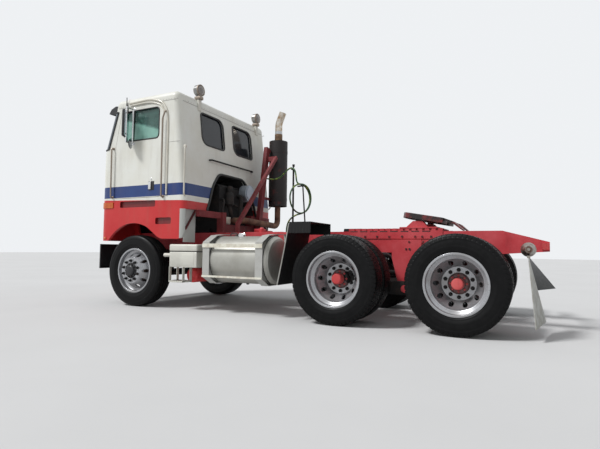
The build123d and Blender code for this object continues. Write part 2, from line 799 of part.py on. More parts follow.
# Rear bogie: walking beams, and saddles that hang them from the rails
beam_inner_y = 465
beam_outer_y = 535
trunnion_z = 400
trunnion_radius = 45
beam_top = hub_z - axle_tube_radius - seat_gap
walking_face = outline(
    (rear_station - 70, beam_top - 110),
    (rear_station - 70, beam_top),
    (rear_station + 90, beam_top),
    (tandem_middle - 90, beam_top + 40),
    (tandem_middle + 90, beam_top + 40),
    (mid_station - 90, beam_top),
    (mid_station + 70, beam_top),
    (mid_station + 70, beam_top - 110),
    (tandem_middle + 110, 325),
    (tandem_middle - 110, 325),
)
walking_beam = side_plate(walking_face, beam_inner_y, beam_outer_y)
walking_beam -= rod((tandem_middle, 0, trunnion_z), (tandem_middle, 900, trunnion_z), trunnion_radius + seat_gap)
write("walking_beams", walking_beam, other_side(walking_beam))
saddle_face = outline(
    (485, 987), (843, 987), (843, 766), (tandem_middle + 75, 340), (tandem_middle - 75, 340), (485, 766)
)
saddle = side_plate(saddle_face, rail_outer_y, rail_outer_y + 26)
saddle += other_side(saddle)
saddle += rod((tandem_middle, -beam_outer_y - 20, trunnion_z), (tandem_middle, beam_outer_y + 20, trunnion_z), trunnion_radius)
write("beam_saddles", saddle)

# Fuel tank with domed ends and a filler, one each side
tank_rear = 2200
tank_front = 3160
tank_radius = 313
tank_y = 850
tank_z = 708
dome = 70
tank = drum((tank_rear, tank_y, tank_z), (tank_front, tank_y, tank_z), tank_radius, dome)
filler = (2753, tank_y + 50)
tank += rod((*filler, tank_z + tank_radius - 30), (*filler, tank_z + tank_radius + 24), 46)
write("fuel_tanks", tank, other_side(tank))

# Tank brackets: a sheet band round the tank at each end, and two step boards between them
band_sheet = 8
band_outer_y = 1178
band_low = tank_z - tank_radius - band_sheet - seat_gap
band_face = outline(
    (rail_outer_y, 1060),
    (tank_y, tank_z + tank_radius + 26),
    (1010, tank_z + tank_radius + 8),
    (band_outer_y, 936),
    (band_outer_y, 480),
    (1010, band_low),
    (600, band_low),
    (rail_outer_y, 700),
)
band_hollow = offset(band_face, -band_sheet, kind=Kind.INTERSECTION)
band_width = 106
band_rears = [tank_rear + 62, tank_front - 82]
bands = [cross_plate(band_face - band_hollow, rear, rear + band_width) for rear in band_rears]
tank_brackets = bands[0] + bands[1]
board_thick = 12
for low, high in ((865, 916), (478, 502)):
    tank_brackets += block(
        (band_rears[0], band_rears[1] + band_width), (band_outer_y, band_outer_y + board_thick), (low, high)
    )
write("tank_brackets", tank_brackets, other_side(tank_brackets))

# Battery box with its lid, step peg and hung step, one each side
box_rear = 3306
box_front = 3795
box_inner = 496
box_outer = 1150
box_low = 590
lid_low = 806
box_high = 905
lid_lap = 4
box = block(
    (box_rear + lid_lap, box_front - lid_lap), (box_inner + lid_lap, box_outer - lid_lap), (box_low, lid_low - 6)
)
box += block((box_rear, box_front), (box_inner, box_outer), (lid_low, box_high))
box += block(
    (box_rear + 2 * lid_lap, box_front - 2 * lid_lap),
    (box_inner + 2 * lid_lap, box_outer - 2 * lid_lap),
    (lid_low - 16, lid_low + 14),
)
box += rod((box_front - 15, box_outer - 65, 753), (box_front + 145, box_outer - 65, 753), 27)
for station in (box_rear + 94, box_front - 95):
    box += block((station - 20, station + 20), (rail_outer_y, box_inner + lid_lap), (845, 895))
step_z = 383
step_thick = 20
step_rear = box_front - 250
step_front = box_front - 4
step_side = 8
for station in (step_rear, step_front - step_side):
    box += block((station, station + step_side), (box_outer - 200, box_outer - lid_lap), (step_z, box_low + 6))
box += block((step_rear, step_front), (box_outer - 200, box_outer), (step_z, step_z + step_thick))
write("battery_boxes", box, other_side(box))

# Air tank under the left box, on a saddle
air_tank_station = 3600
air_tank_radius = 100
air_tank_z = box_low - 22 - air_tank_radius
air_tank = drum((air_tank_station, 500, air_tank_z), (air_tank_station, 900, air_tank_z), air_tank_radius, 35)
for y in (560, 800):
    air_tank += block(
        (air_tank_station - 30, air_tank_station + 30), (y, y + 30), (air_tank_z + 72, box_low - seat_gap)
    )
write("air_tank", air_tank)

# Exhaust: pipe from the engine, muffler in its shield, and curved tail pipe
stack_station = 3270
stack_y = -950
pipe_radius = 50
pipe_path = FilletPolyline(
    (engine_rear - seat_gap, 90, 1290),
    (stack_station, 90, 1290),
    (stack_station, stack_y, 1250),
    (stack_station, stack_y, 1660),
    radius=110,
)
stack = sweep(Plane(pipe_path @ 0, z_dir=pipe_path % 0) * Circle(pipe_radius), pipe_path)
shield_low = 1600
shield_high = 2750
shield_radius = 162
muffler_low = 1640
muffler_high = 2640
muffler_radius = 145
neck_radius = 68
neck_high = 2885
muffler_profile = outline(
    (0, muffler_low),
    (muffler_radius, muffler_low),
    (muffler_radius, muffler_high),
    (muffler_radius - 20, muffler_high + 70),
    (neck_radius, muffler_high + 120),
    (neck_radius, neck_high),
    (0, neck_high),
)
stack += Pos(stack_station, stack_y, 0) * revolve(Plane.XZ * muffler_profile, Axis.Z, 360)
shield = Cylinder(shield_radius, shield_high - shield_low) - Cylinder(shield_radius - 3, shield_high - shield_low)
stack += Pos(stack_station, stack_y, (shield_low + shield_high) / 2) * shield
clamp_heights = [1720, 2560]
for z in clamp_heights:
    clamp_ring = Cylinder(shield_radius + 3, 44) - Cylinder(muffler_radius - 5, 44)
    stack += Pos(stack_station, stack_y, z) * clamp_ring
tip_radius = 63.5
tip_path = FilletPolyline(
    (stack_station, stack_y, neck_high),
    (stack_station, stack_y, neck_high + 190),
    (stack_station - 82, stack_y, neck_high + 385),
    radius=260,
)
tip = sweep(Plane(tip_path @ 0, z_dir=tip_path % 0) * Circle(tip_radius), tip_path)
tip -= sweep(Plane(tip_path @ 0, z_dir=tip_path % 0) * Circle(tip_radius - 3), tip_path)
stack += tip
write("exhaust_stack", stack)

# Red cradle behind the cab: legs, cross beam, arms, leaning mast and its strut
leg_front = rear_wall_station - 10
leg_rear = leg_front - 110
cradle_top = rear_wall_low - 5
mast_station = 3375
cradle = block((leg_rear, leg_front), (-rail_outer_y, rail_outer_y), (1100, 1220))
for side in (1, -1):
    leg = sorted((side * (rail_outer_y - rail_flange), side * rail_outer_y))
    cradle += block((leg_rear, leg_front), leg, (rail_high, cradle_top))
    arm = sorted((side * (rail_outer_y - 10), side * 950))
    cradle += block((leg_rear + 20, leg_front - 20), arm, (1300, 1390))
mast_foot = (mast_station, -470, rail_high + 10)
mast_head = (mast_station, -735, 2610)
cradle += bar(mast_foot, mast_head, 96, 66)
cradle += block((mast_station - 40, leg_rear + 1), (-520, -rail_outer_y + rail_flange), (rail_high, rail_high + 30))
strut_station = 3190
cradle += bar((strut_station, -735, 2430), (strut_station, 372, 1220), 56, 46)
cradle += block((strut_station - 25, strut_station + 25), (350, 400), (rail_high, 1250))
cradle += block((strut_station, mast_station), (-760, -690), (2360, 2440))
for z, inner_y in zip(clamp_heights, (-560, -690)):
    clamp = block((mast_station - 33, mast_station - 3), (stack_y, inner_y), (z - 20, z + 20))
    cradle += clamp - Pos(stack_station, stack_y, 2000) * Cylinder(shield_radius + 3 + seat_gap, 3000)
write("cab_cradle", cradle)

# Air cleaner drum at the tunnel's mouth
cleaner_y = -290
cleaner_z = 1760
cleaner = rod((3420, cleaner_y, cleaner_z), (engine_rear - seat_gap, cleaner_y, cleaner_z), 137)
cleaner += rod((3408, cleaner_y, cleaner_z), (3420, cleaner_y, cleaner_z), 110)
write("air_cleaner", cleaner)

# Air hose: it leaves the mast, goes over the hose post, hangs in one loop on the stick and ends at the deck
hose_radius = 12.5
post_station = 2700
post_y = -450
post_top = 2125
loop_centre = (2545, -400, 1655)
loop_radius = 240
loop_bundle = 27
loop_across = (-0.296, -0.955, 0)
loop_normal = (0.955, -0.296, 0)
hose_over = [
    (3338, -610, 2060),
    (3230, -590, 2035),
    (3100, -560, 2015),
    (2970, -510, 2035),
    (2860, -460, 2100),
    (2785, -430, 2148),
    (2710, -403, 2162),
    (2650, -383, 2130),
    (2618, -370, 2065),
    (2605, -362, 1995),
    (2593, -355, 1932),
    (2565, -345, 1887),
]
hose_down = [
    (2560, -450, 1421),
    (2625, -415, 1400),
    (2695, -400, 1360),
    (2750, -398, 1300),
    (2780, -400, 1220),
    (2788, -402, 1140),
    (2790, -403, 1097),
]


def hose_run(points):
    # A tube of straight runs and the largest arcs that both runs at a corner leave room for.
    runs = [Vector(*b) - Vector(*a) for a, b in zip(points, points[1:])]
    radii = []
    for before, after in zip(runs, runs[1:]):
        half_turn = radians(before.get_angle(after) / 2)
        radii.append(0.45 * min(before.length, after.length) / tan(half_turn))
    path = FilletPolyline(*points, radius=radii)
    print("hose radii", [round(r) for r in radii], "length", round(path.length))
    return sweep(Plane(path @ 0, z_dir=path % 0) * RegularPolygon(hose_radius, 8), path)


loop_plane = Plane(origin=loop_centre, x_dir=loop_across, z_dir=loop_normal)
hose_loop = ring(loop_plane, loop_radius, loop_bundle)
clear_loop = ring(loop_plane, loop_radius, loop_bundle + seat_gap)
hose_ends = [hose_run(hose_over) - clear_loop, hose_run(hose_down) - clear_loop]
write("air_hose", hose_loop, *[max(end.solids(), key=lambda s: s.volume) for end in hose_ends])

# Hose post and the leaning stick whose hook carries the loop
deck_top = rail_high + deck_thick
post = rod((post_station, post_y, deck_top), (post_station, post_y, post_top), 15)
post += block((post_station - 12, post_station + 12), (post_y - 12, post_y + 70), (post_top, post_top + 12))
post += rod((post_station, post_y, post_top), (post_station, post_y, post_top + 60), 10)
post += rod((post_station, post_y, post_top + 60), (post_station, post_y, post_top + 95), 20)
post += block((post_station - 50, post_station + 50), (post_y - 50, post_y + 50), (deck_top, deck_top + 8))
hook_z = loop_centre[2] + loop_radius - loop_bundle - 13
hook = Vector(*loop_normal) * 60
hook_middle = Vector(loop_centre[0], loop_centre[1], hook_z)
stick = rod(tuple(hook_middle - hook), tuple(hook_middle + hook), 12)
stick_foot = (2440, -384)
stick += rod((*stick_foot, deck_top + 30), tuple(hook_middle - hook * 0.85), 11)
stick += rod((*stick_foot, deck_top), (*stick_foot, deck_top + 60), 26)
write("hose_post", post, stick)

# Quarter fenders ahead of the front drive wheels, and the arms that carry them
fender_inner = 600
fender_outer = 1200
fender_sheet = 8
fender_path = [(1600, 1180), (1880, 1180), (1905, 1046), (2030, 425)]
fender_face = outline(*fender_path, (2022, 423), (1897, 1044), (1873, 1172), (1600, 1172))
fender = side_plate(fender_face, fender_inner, fender_outer)
for low_y in (fender_inner, fender_outer - fender_sheet):
    lip = outline((1600, 1180), (1880, 1180), (1905, 1046), (1600, 1046))
    fender += side_plate(lip, low_y, low_y + fender_sheet)
write("quarter_fenders", fender, other_side(fender))
arm_station = 1740
fender_arm = block((arm_station - 20, arm_station + 20), (rail_outer_y, fender_inner - seat_gap), (1050, 1080))
fender_arm += block((arm_station - 20, arm_station + 20), (fender_inner - 14, fender_inner - seat_gap), (1050, 1150))

# Mud flaps and their hangers: the left flap hangs slack, the right one twists back
hanger_station = -655
hanger_z = 880
hanger_end = 1110
flap_thick = 10
flap_top = 796
hangers = []
for side in (1, -1):
    hanger = rod((hanger_station, side * rail_outer_y, hanger_z), (hanger_station, side * hanger_end, hanger_z), 14)
    cup = turned([(700, 0), (700, 74), (712, 74), (850, 34), (850, 0)], 0)
    hanger += Pos(hanger_station, 0, hanger_z) * (cup if side > 0 else other_side(cup))
    clamp_y = sorted((side * 490, side * hanger_end))
    hanger += block((hanger_station - 14, hanger_station + 14), clamp_y, (flap_top + seat_gap, flap_top + 24))
    hangers.append(hanger)
write("flap_hangers", *hangers, fender_arm, other_side(fender_arm))


def flap(top, bottom):
    # A ruled sheet between two level edges, each given by its inner and outer (station, y) and a z.
    sections = []
    for inner, outer, z in (top, bottom):
        run = Vector(*outer) - Vector(*inner)
        plane = Plane(origin=((inner[0] + outer[0]) / 2, (inner[1] + outer[1]) / 2, z), x_dir=(run.X, run.Y, 0))
        sections.append(plane * Rectangle(run.length, flap_thick))
    return loft(sections, ruled=True)


left_flap = flap(((hanger_station, 500), (hanger_station, hanger_end), flap_top), ((-807, 500), (-706, 1100), 127))
right_flap = flap(((hanger_station, -500), (hanger_station, -hanger_end), flap_top), ((-720, -500), (-975, -1050), 372))
write("mud_flaps", left_flap, right_flap)

# Tail lamps on the rail ends
lamps = []
for side in (1, -1):
    span = sorted((side * (rail_outer_y + seat_gap), side * (rail_outer_y + 60)))
    lamps.append(block((rail_tail + 5, rail_tail + 75), span, (tail_low + 20, tail_high - 15)))
write("tail_lamps", *lamps)

# Bumper: a channel-edged plate on two brackets under the rails
bumper_front = 5276
bumper_rear = 5240
bumper_sheet = 8
bumper_half = 1085
bumper_low = 527
bumper_high = 900
bumper = block((bumper_rear, bumper_front), (-bumper_half, bumper_half), (bumper_low, bumper_high))
corner = [e for e in bumper.edges().filter_by(Axis.Z) if e.center().X > bumper_front - 1]
bumper = fillet(corner, bumper_sheet * 3)
bumper -= block(
    (bumper_rear - 1, bumper_front - bumper_sheet),
    (bumper_sheet * 2 - bumper_half, bumper_half - bumper_sheet * 2),
    (bumper_low + bumper_sheet, bumper_high - bumper_sheet),
)
bumper_bracket = side_plate(
    outline(
        (5066, rail_low),
        (rail_front, rail_low),
        (5150, 785),
        (bumper_front - bumper_sheet, 785),
        (bumper_front - bumper_sheet, 600),
        (5150, 600),
        (5066, 740),
    ),
    392,
    412,
)
write("bumper", bumper + bumper_bracket + other_side(bumper_bracket))

# Fifth wheel base: bolted angles, toothed slide rails, and a carriage with the pivot's clevises
pivot_station = 535
pivot_z = 1180
slide_rear = 240
slide_front = 1410
slide_high = 1126
tooth_pitch = 78
base = block((300, 750), (-446, 446), (slide_high, slide_high + 16))
for side in (1, -1):
    angle_y = sorted((side * rail_outer_y, side * (rail_outer_y + 10)))
    slide_y = sorted((side * (rail_outer_y - rail_flange), side * (rail_outer_y + 10)))
    slide = block((slide_rear, slide_front), slide_y, (rail_high, slide_high))
    slide += block((slide_rear, slide_front + 120), angle_y, (1000, rail_high + 1))
    for i in range(int((slide_front - slide_rear - 60) / tooth_pitch)):
        start = slide_rear + 50 + i * tooth_pitch
        notch = sorted((side * (rail_outer_y - 14), side * (rail_outer_y + 20)))
        slide -= block((start, start + 30), notch, (rail_high + 8, slide_high + 1))
    base += slide
for side in (1, -1):
    for inner, outer in ((300, 330), (400, 430)):
        cheek_y = sorted((side * inner, side * outer))
        cheek = side_plate(outline((400, slide_high), (690, slide_high), (590, 1215), (480, 1215)), *cheek_y)
        base += cheek
    base += rod((pivot_station, side * 300, pivot_z), (pivot_station, side * 430, pivot_z), 18)
write("fifth_wheel_base", base)

# Fifth wheel plate in its own level frame, x forward from the pivot and z up, stored tipped rearwards
plate_tilt = 10
plate_top = 118
plate_thick = 16
plate_face = make_face(
    Polyline((-285, 450), (150, 450))
    + ThreePointArc((150, 450), (262, 0), (150, -450))
    + Polyline((150, -450), (-285, -450), (-285, 450))
)
plate = level_plate(plate_face, plate_top - plate_thick, plate_top)
skirt = level_plate(plate_face, plate_top - 62, plate_top - 1)
skirt -= level_plate(offset(plate_face, -12, kind=Kind.INTERSECTION), plate_top - 63, plate_top)
plate += skirt
ramp_side = outline(
    (-285, plate_top), (-400, plate_top - 22), (-515, plate_top - 95), (-515, plate_top - 111), (-400, plate_top - 50),
    (-285, plate_top - plate_thick)
)
for side in (1, -1):
    plate += side_plate(ramp_side, *sorted((side * 190, side * 420)))
throat = level_plate(outline((-5, 26), (-150, 30), (-520, 190), (-520, -190), (-150, -30), (-5, -26)), -100, plate_top + 1)
kingpin_hole = Pos(0, 0, plate_top - 50) * Cylinder(kingpin_bore, 200)
locks = block((-150, 130), (-150, 150), (plate_top - 62, plate_top - 1))
locks += block((-80, 90), (150, 345), (plate_top - 50, plate_top - 10)) + block((-80, 90), (-345, -150), (plate_top - 50, plate_top - 10))
plate += locks
plate -= throat
plate -= kingpin_hole
for side in (1, -1):
    lug_face = outline((-45, plate_top - plate_thick), (45, plate_top - plate_thick), (28, -28), (-28, -28))
    plate_lug = side_plate(lug_face, *sorted((side * 336, side * 394)))
    plate_lug -= rod((0, side * 300, 0), (0, side * 430, 0), 18 + seat_gap)
    plate += plate_lug
plate_at = Pos(pivot_station, 0, pivot_z) * Rot(0, -plate_tilt, 0)
write("fifth_wheel_plate", plate_at * plate)

door_block = block((3000, far), (0, cab_half_width + seat_gap), (0, far))

# Mirrors: a tube frame on the door, with a long head and a round wide-angle one turned in towards the seat
mirror_station = 4538
mirror_y = cab_half_width + 147
mirror_turn = 31
mirror_low = 2385
mirror_high = 2895
tube_radius = 11
head_wide = 172
head_high = 400
head_thick = 40
head_low = 2455
round_radius = 60
head = Box(head_thick, head_wide, head_high)
head = fillet(head.edges().filter_by(Axis.X), 22)
mirror_set = Pos(mirror_station + 30, mirror_y, head_low + head_high / 2) * Rot(0, 0, mirror_turn) * head
round_head = Rot(0, 90, 0) * Cylinder(round_radius, 30)
mirror_set += Pos(mirror_station - 8, mirror_y - 50, mirror_low - 20) * Rot(0, 0, mirror_turn) * round_head
for y in (mirror_y, cab_half_width + 22):
    mirror_set += rod((mirror_station, y, mirror_low), (mirror_station, y, mirror_high), tube_radius)
for z in (mirror_low, mirror_high):
    arm = rod((mirror_station, cab_half_width, z), (mirror_station, mirror_y, z), tube_radius)
    mirror_set += arm - door_block
write("mirror_left", mirror_set)
write("mirror_right", other_side(mirror_set))

# Grab rails: tubes whose ends turn in to the panels, beside the doors, at the rear corners and on the rear wall
grab_radius = 11.5
grab_stand_off = 42
grab_bend = 34
# Each side rail's line as (station, z), from its top end down
side_rails = [[(4945, 2345), (4935, 1600)], [(3895, 2790), (3940, 2680), (3930, 1575)]]
rear_bar_ends = [543, -592]
rear_bar_z = 2180


def grab_rail(points):
    path = FilletPolyline(*points, radius=grab_bend)
    return sweep(Plane(path @ 0, z_dir=path % 0) * RegularPolygon(grab_radius, 8), path)


grab_rails = []
for line in side_rails:
    clear_of_wall = [(station, cab_half_width + grab_stand_off, z) for station, z in line]
    ends = [(station, cab_half_width, z) for station, z in (line[0], line[-1])]
    grab_rails.append(grab_rail([ends[0], *clear_of_wall, ends[1]]))
grab_rails += [other_side(rail) for rail in grab_rails]
bar_station = rear_wall_at(rear_bar_z)
bar_line = [(bar_station + cab_wall / 2, y, rear_bar_z) for y in rear_bar_ends]
bar_clear = [(bar_station - grab_stand_off, y, rear_bar_z) for y in rear_bar_ends]
grab_rails.append(grab_rail([bar_line[0], *bar_clear, bar_line[1]]) - cab_form())
write("grab_rails", *grab_rails)

# Cab nodes
write("cab_roof", roof)
write("cab_front", front_wall)
write("cab_rear_wall", rear_wall)
write("cab_side_left", side_left)
write("cab_side_right", side_right)
write("cab_floor", cab_floor)
write("cab_glass", screen_pane, other_side(screen_pane), *rear_glass)
write("dashboard", dashboard)
write("steering_wheel", steering_wheel)
write("seats", seat_left, other_side(seat_left))
write("sun_visor", visor)
write("cab_lamps", *work_lamps, head_lamp, other_side(head_lamp), corner_lamp, other_side(corner_lamp))
write("door_left", door_left)
write("door_right", other_side(door_left))
write("door_glass_left", door_pane)
write("door_glass_right", other_side(door_pane))
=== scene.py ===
# Cab-over tractor unit with two driven rear axles: finishes, tyres, wheels, trim, hose, seats, camera and light.
# Metres throughout. Shapes are worked out by station, y and z, where a station is measured forward from the rearmost
# axle, and placed() takes them to the frame. Colours are screen colours from 0 to 255.

import bmesh
import bpy
import numpy as np
from mathutils import Matrix, Vector


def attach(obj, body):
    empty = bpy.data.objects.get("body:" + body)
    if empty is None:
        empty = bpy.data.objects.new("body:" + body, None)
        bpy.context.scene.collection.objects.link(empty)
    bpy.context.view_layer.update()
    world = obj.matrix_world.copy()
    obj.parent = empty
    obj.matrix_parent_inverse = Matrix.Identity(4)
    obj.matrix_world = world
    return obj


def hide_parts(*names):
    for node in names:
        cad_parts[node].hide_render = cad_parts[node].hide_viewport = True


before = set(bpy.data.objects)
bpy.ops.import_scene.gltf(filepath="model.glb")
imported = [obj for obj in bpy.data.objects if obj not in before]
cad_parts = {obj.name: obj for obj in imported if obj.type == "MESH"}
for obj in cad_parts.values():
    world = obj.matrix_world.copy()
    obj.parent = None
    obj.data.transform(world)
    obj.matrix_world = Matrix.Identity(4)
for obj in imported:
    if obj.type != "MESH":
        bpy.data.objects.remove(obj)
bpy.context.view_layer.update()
middleStation = 2.148
axleZ = 0.518
sides = {"left": 1, "right": -1}
alongX, alongY, alongZ = (1, 0, 0), (0, 1, 0), (0, 0, 1)
print("frame loaded,", len(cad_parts), "nodes")


def placed(points):
    # Points given by station, y and z, moved to the frame's x, y and z.
    return np.asarray(points, float) - (middleStation, 0, 0)


# Surfaces: each is a pair of arrays, points and four-cornered faces

def gridSurface(points, wrapU=False, wrapV=False):
    # One face for each cell of a grid of points; a wrapped direction joins its last row to its first.
    rows, columns = points.shape[:2]
    index = np.arange(rows * columns).reshape(rows, columns)
    if wrapU:
        index = np.vstack([index, index[:1]])
    if wrapV:
        index = np.hstack([index, index[:, :1]])
    faces = np.stack([index[:-1, :-1], index[1:, :-1], index[1:, 1:], index[:-1, 1:]], -1)
    return points.reshape(-1, 3), faces.reshape(-1, 4)


def capped(rings):
    # Closed rings joined one to the next, with each end drawn together at its own middle.
    ends = [rings[[row]].mean(1, keepdims=True).repeat(rings.shape[1], 1) for row in (0, -1)]
    return gridSurface(np.concatenate([ends[0], rings, ends[1]]), wrapV=True)


def joined(*surfaces):
    # The surfaces' points in one array, with each surface's faces shifted past the points before it.
    starts = np.cumsum([0] + [len(points) for points, faces in surfaces[:-1]])
    return (np.vstack([points for points, faces in surfaces]),
            np.vstack([faces + start for (points, faces), start in zip(surfaces, starts)]))


def repeatedFaces(surface, times):
    # The faces of so many copies of the surface, each copy's shifted past the points before it.
    points, faces = surface
    return (faces[None] + (np.arange(times) * len(points))[:, None, None]).reshape(-1, 4)


def copied(surface, offsets):
    # The surface moved by each offset in turn.
    return (surface[0][None] + offsets[:, None]).reshape(-1, 3), repeatedFaces(surface, len(offsets))


def aroundAxle(surface, centre, turns):
    # Copies turned about the line through centre along y, by each angle in turns.
    c, s = np.cos(turns)[:, None], np.sin(turns)[:, None]
    x, y, z = (surface[0] - centre).T
    turned = np.stack([c * x + s * z, y + 0 * c, c * z - s * x], -1) + centre
    return turned.reshape(-1, 3), repeatedFaces(surface, len(turns))


def turnedUp(surface, centre, degrees):
    # The surface turned about the upright line through centre.
    points, faces = surface
    c, s = np.cos(np.radians(degrees)), np.sin(np.radians(degrees))
    x, y, z = (points - centre).T
    return np.stack([c * x - s * y, s * x + c * y, z], -1) + centre, faces


def otherSide(surface):
    # The surface mirrored across y = 0, with each face's corners in reverse so that it still looks outwards.
    points, faces = surface
    return points * (1, -1, 1), faces[:, ::-1]


def bothSides(*forms):
    # The forms as one surface, and its mirror image.
    one = joined(*forms)
    return [one, otherSide(one)]


def onSide(side, *forms):
    # The forms as they are for the left side, or mirrored for the right.
    one = joined(*forms)
    return [one if side > 0 else otherSide(one)]


def roundedLine(corners, radius, closed=False, steps=4):
    # Each corner becomes a parabola between two points that lie radius before and after it, or less on a short run.
    corners = np.asarray(corners, float)
    before = np.roll(corners, 1, 0) - corners
    after = np.roll(corners, -1, 0) - corners
    lengthBefore = np.linalg.norm(before, axis=1, keepdims=True) + 1e-12
    lengthAfter = np.linalg.norm(after, axis=1, keepdims=True) + 1e-12
    reach = np.minimum(radius, 0.45 * np.minimum(lengthBefore, lengthAfter))
    first = corners + before / lengthBefore * reach
    last = corners + after / lengthAfter * reach
    t = np.linspace(0, 1, steps + 1)[None, :, None]
    arcs = (1 - t) ** 2 * first[:, None] + 2 * t * (1 - t) * corners[:, None] + t ** 2 * last[:, None]
    if closed:
        return arcs.reshape(-1, corners.shape[1])
    return np.vstack([corners[:1], arcs[1:-1].reshape(-1, corners.shape[1]), corners[-1:]])


def circleProfile(radius, count=10):
    # Radius times the cosine and sine of equal turns.
    turns = np.arange(count) * 2 * np.pi / count
    return radius * np.stack([np.cos(turns), np.sin(turns)], -1)


def slabProfile(width, height, radius):
    # A rectangle about the path, width across it and height up it, with its corners rounded.
    corners = np.array([width, height]) / 2 * [(-1, -1), (1, -1), (1, 1), (-1, 1)]
    return roundedLine(corners, radius, closed=True, steps=2)


def carried(path, profile, up=alongZ, closed=False):
    # The profile at every point of the path, square to the path's run, its second axis towards up.
    path = np.asarray(path, float)
    run = np.roll(path, -1, 0) - np.roll(path, 1, 0)
    if not closed:
        run[0], run[-1] = path[1] - path[0], path[-1] - path[-2]
    run /= np.linalg.norm(run, axis=1, keepdims=True)
    across = np.cross(run, np.asarray(up, float))
    across /= np.linalg.norm(across, axis=1, keepdims=True)
    lift = np.cross(across, run)
    rings = path[:, None] + profile[None, :, :1] * across[:, None] + profile[None, :, 1:] * lift[:, None]
    return gridSurface(rings, wrapU=True, wrapV=True) if closed else capped(rings)


def tube(path, radius, up=alongZ, count=10):
    # A circle carried along the path.
    return carried(path, circleProfile(radius, count), up)


def pipe(corners, bend, radius, up=alongZ, count=10, steps=4):
    # A tube that turns each corner of its line in a bend.
    return tube(roundedLine(corners, bend, steps=steps), radius, up, count)


def turnedForm(profile, centre, axis=alongY, count=48):
    # The profile's (distance along the axis, radius) points swept once round the axis through centre.
    profile = np.asarray(profile, float)
    axis = np.asarray(axis, float) / np.linalg.norm(axis)
    helper = np.array(alongX if abs(axis[0]) < 0.9 else alongZ, float)
    first = np.cross(axis, helper)
    first /= np.linalg.norm(first)
    second = np.cross(axis, first)
    turns = np.arange(count) * 2 * np.pi / count
    spoke = np.cos(turns)[:, None] * first + np.sin(turns)[:, None] * second
    points = np.asarray(centre) + profile[:, 0, None, None] * axis + profile[:, 1, None, None] * spoke
    return gridSurface(points, wrapV=True)


def roundedBlock(low, high, radius, steps=3):
    # A point of the unit sphere times the radius, pushed out by the box's half size less that radius along each sign.
    low, high = np.asarray(low, float), np.asarray(high, float)
    centre, half = (low + high) / 2, (high - low) / 2
    radius = min(radius, half.min() * 0.98)
    quarter = np.linspace(0, np.pi / 2, steps + 1)
    turn = np.concatenate([quarter + k * np.pi / 2 for k in range(4)])
    lean = np.concatenate([-quarter[::-1], quarter])
    sign = np.array([[1, 1], [-1, 1], [-1, -1], [1, -1]]).repeat(steps + 1, 0)
    signUp = np.array([-1, 1]).repeat(steps + 1)
    x = radius * np.cos(turn) * np.cos(lean)[:, None] + (half[0] - radius) * sign[:, 0]
    y = radius * np.sin(turn) * np.cos(lean)[:, None] + (half[1] - radius) * sign[:, 1]
    z = (radius * np.sin(lean) + (half[2] - radius) * signUp)[:, None] + 0 * x
    return capped(np.stack([x, y, z], -1) + centre)


def slab(centre, size, radius):
    # A rounded block given by its middle and size.
    half = np.asarray(size) / 2
    return roundedBlock(np.asarray(centre) - half, np.asarray(centre) + half, radius)


def bolt(centre, outward, radius, height):
    # A six-sided head with a narrower top, its axis along outward.
    profile = [(0, 0), (0, radius), (height * 0.75, radius), (height, radius * 0.8), (height, 0)]
    return turnedForm(profile, centre, outward, 6)


def makePiece(name, forms, body, finish, replaces=(), sharpAngle=35):
    # The forms become one mesh in the frame; doubled points are merged, and faces turned outwards.
    points, faces = joined(*forms)
    mesh = bpy.data.meshes.new(name)
    mesh.from_pydata(placed(points).tolist(), [], faces.tolist())
    work = bmesh.new()
    work.from_mesh(mesh)
    bmesh.ops.remove_doubles(work, verts=work.verts, dist=2e-5)
    bmesh.ops.dissolve_degenerate(work, edges=work.edges, dist=1e-6)
    bmesh.ops.recalc_face_normals(work, faces=work.faces)
    work.to_mesh(mesh)
    work.free()
    mesh.polygons.foreach_set("use_smooth", np.ones(len(mesh.polygons), bool))
    mesh.set_sharp_from_angle(angle=np.radians(sharpAngle))
    mesh.materials.append(finish)
    piece = bpy.data.objects.new(name, mesh)
    bpy.context.scene.collection.objects.link(piece)
    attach(piece, body)
    if replaces:
        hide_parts(*replaces)
    return piece


# Camera, at the place and angle of the photograph

cameraSpec = {
    "place": (-2.7883, 5.9011, 0.8533),
    "heading": -63.18,
    "rise": 3.18,
    "lean": 0.70,
    "lens": 26.926,
    "sensor": 36.0,
    "farthest": 300,
}


def addCamera(spec):
    heading, rise, lean = np.radians([spec["heading"], spec["rise"], spec["lean"]])
    ahead = Vector((np.cos(heading) * np.cos(rise), np.sin(heading) * np.cos(rise), np.sin(rise)))
    right = ahead.cross(Vector(alongZ)).normalized()
    above = right.cross(ahead)
    leanRight = np.cos(lean) * right + np.sin(lean) * above
    leanAbove = -np.sin(lean) * right + np.cos(lean) * above
    data = bpy.data.cameras.new("camera")
    data.lens = spec["lens"]
    data.sensor_width = spec["sensor"]
    data.clip_end = spec["farthest"]
    camera = bpy.data.objects.new("camera", data)
    turn = Matrix((leanRight, leanAbove, -ahead)).transposed().to_4x4()
    camera.matrix_world = Matrix.Translation(spec["place"]) @ turn
    bpy.context.scene.collection.objects.link(camera)
    bpy.context.scene.camera = camera


addCamera(cameraSpec)

# Finishes


def tone(red, green, blue):
    # A screen colour as the linear colour that shows it.
    share = np.array([red, green, blue]) / 255
    linear = np.where(share <= 0.04045, share / 12.92, ((share + 0.055) / 1.055) ** 2.4)
    return (*[float(v) for v in linear], 1.0)


def paler(colour, gain, lift=0.0):
    # A linear colour made brighter.
    return tuple(min(1.0, v * gain + lift) for v in colour[:3]) + (1.0,)


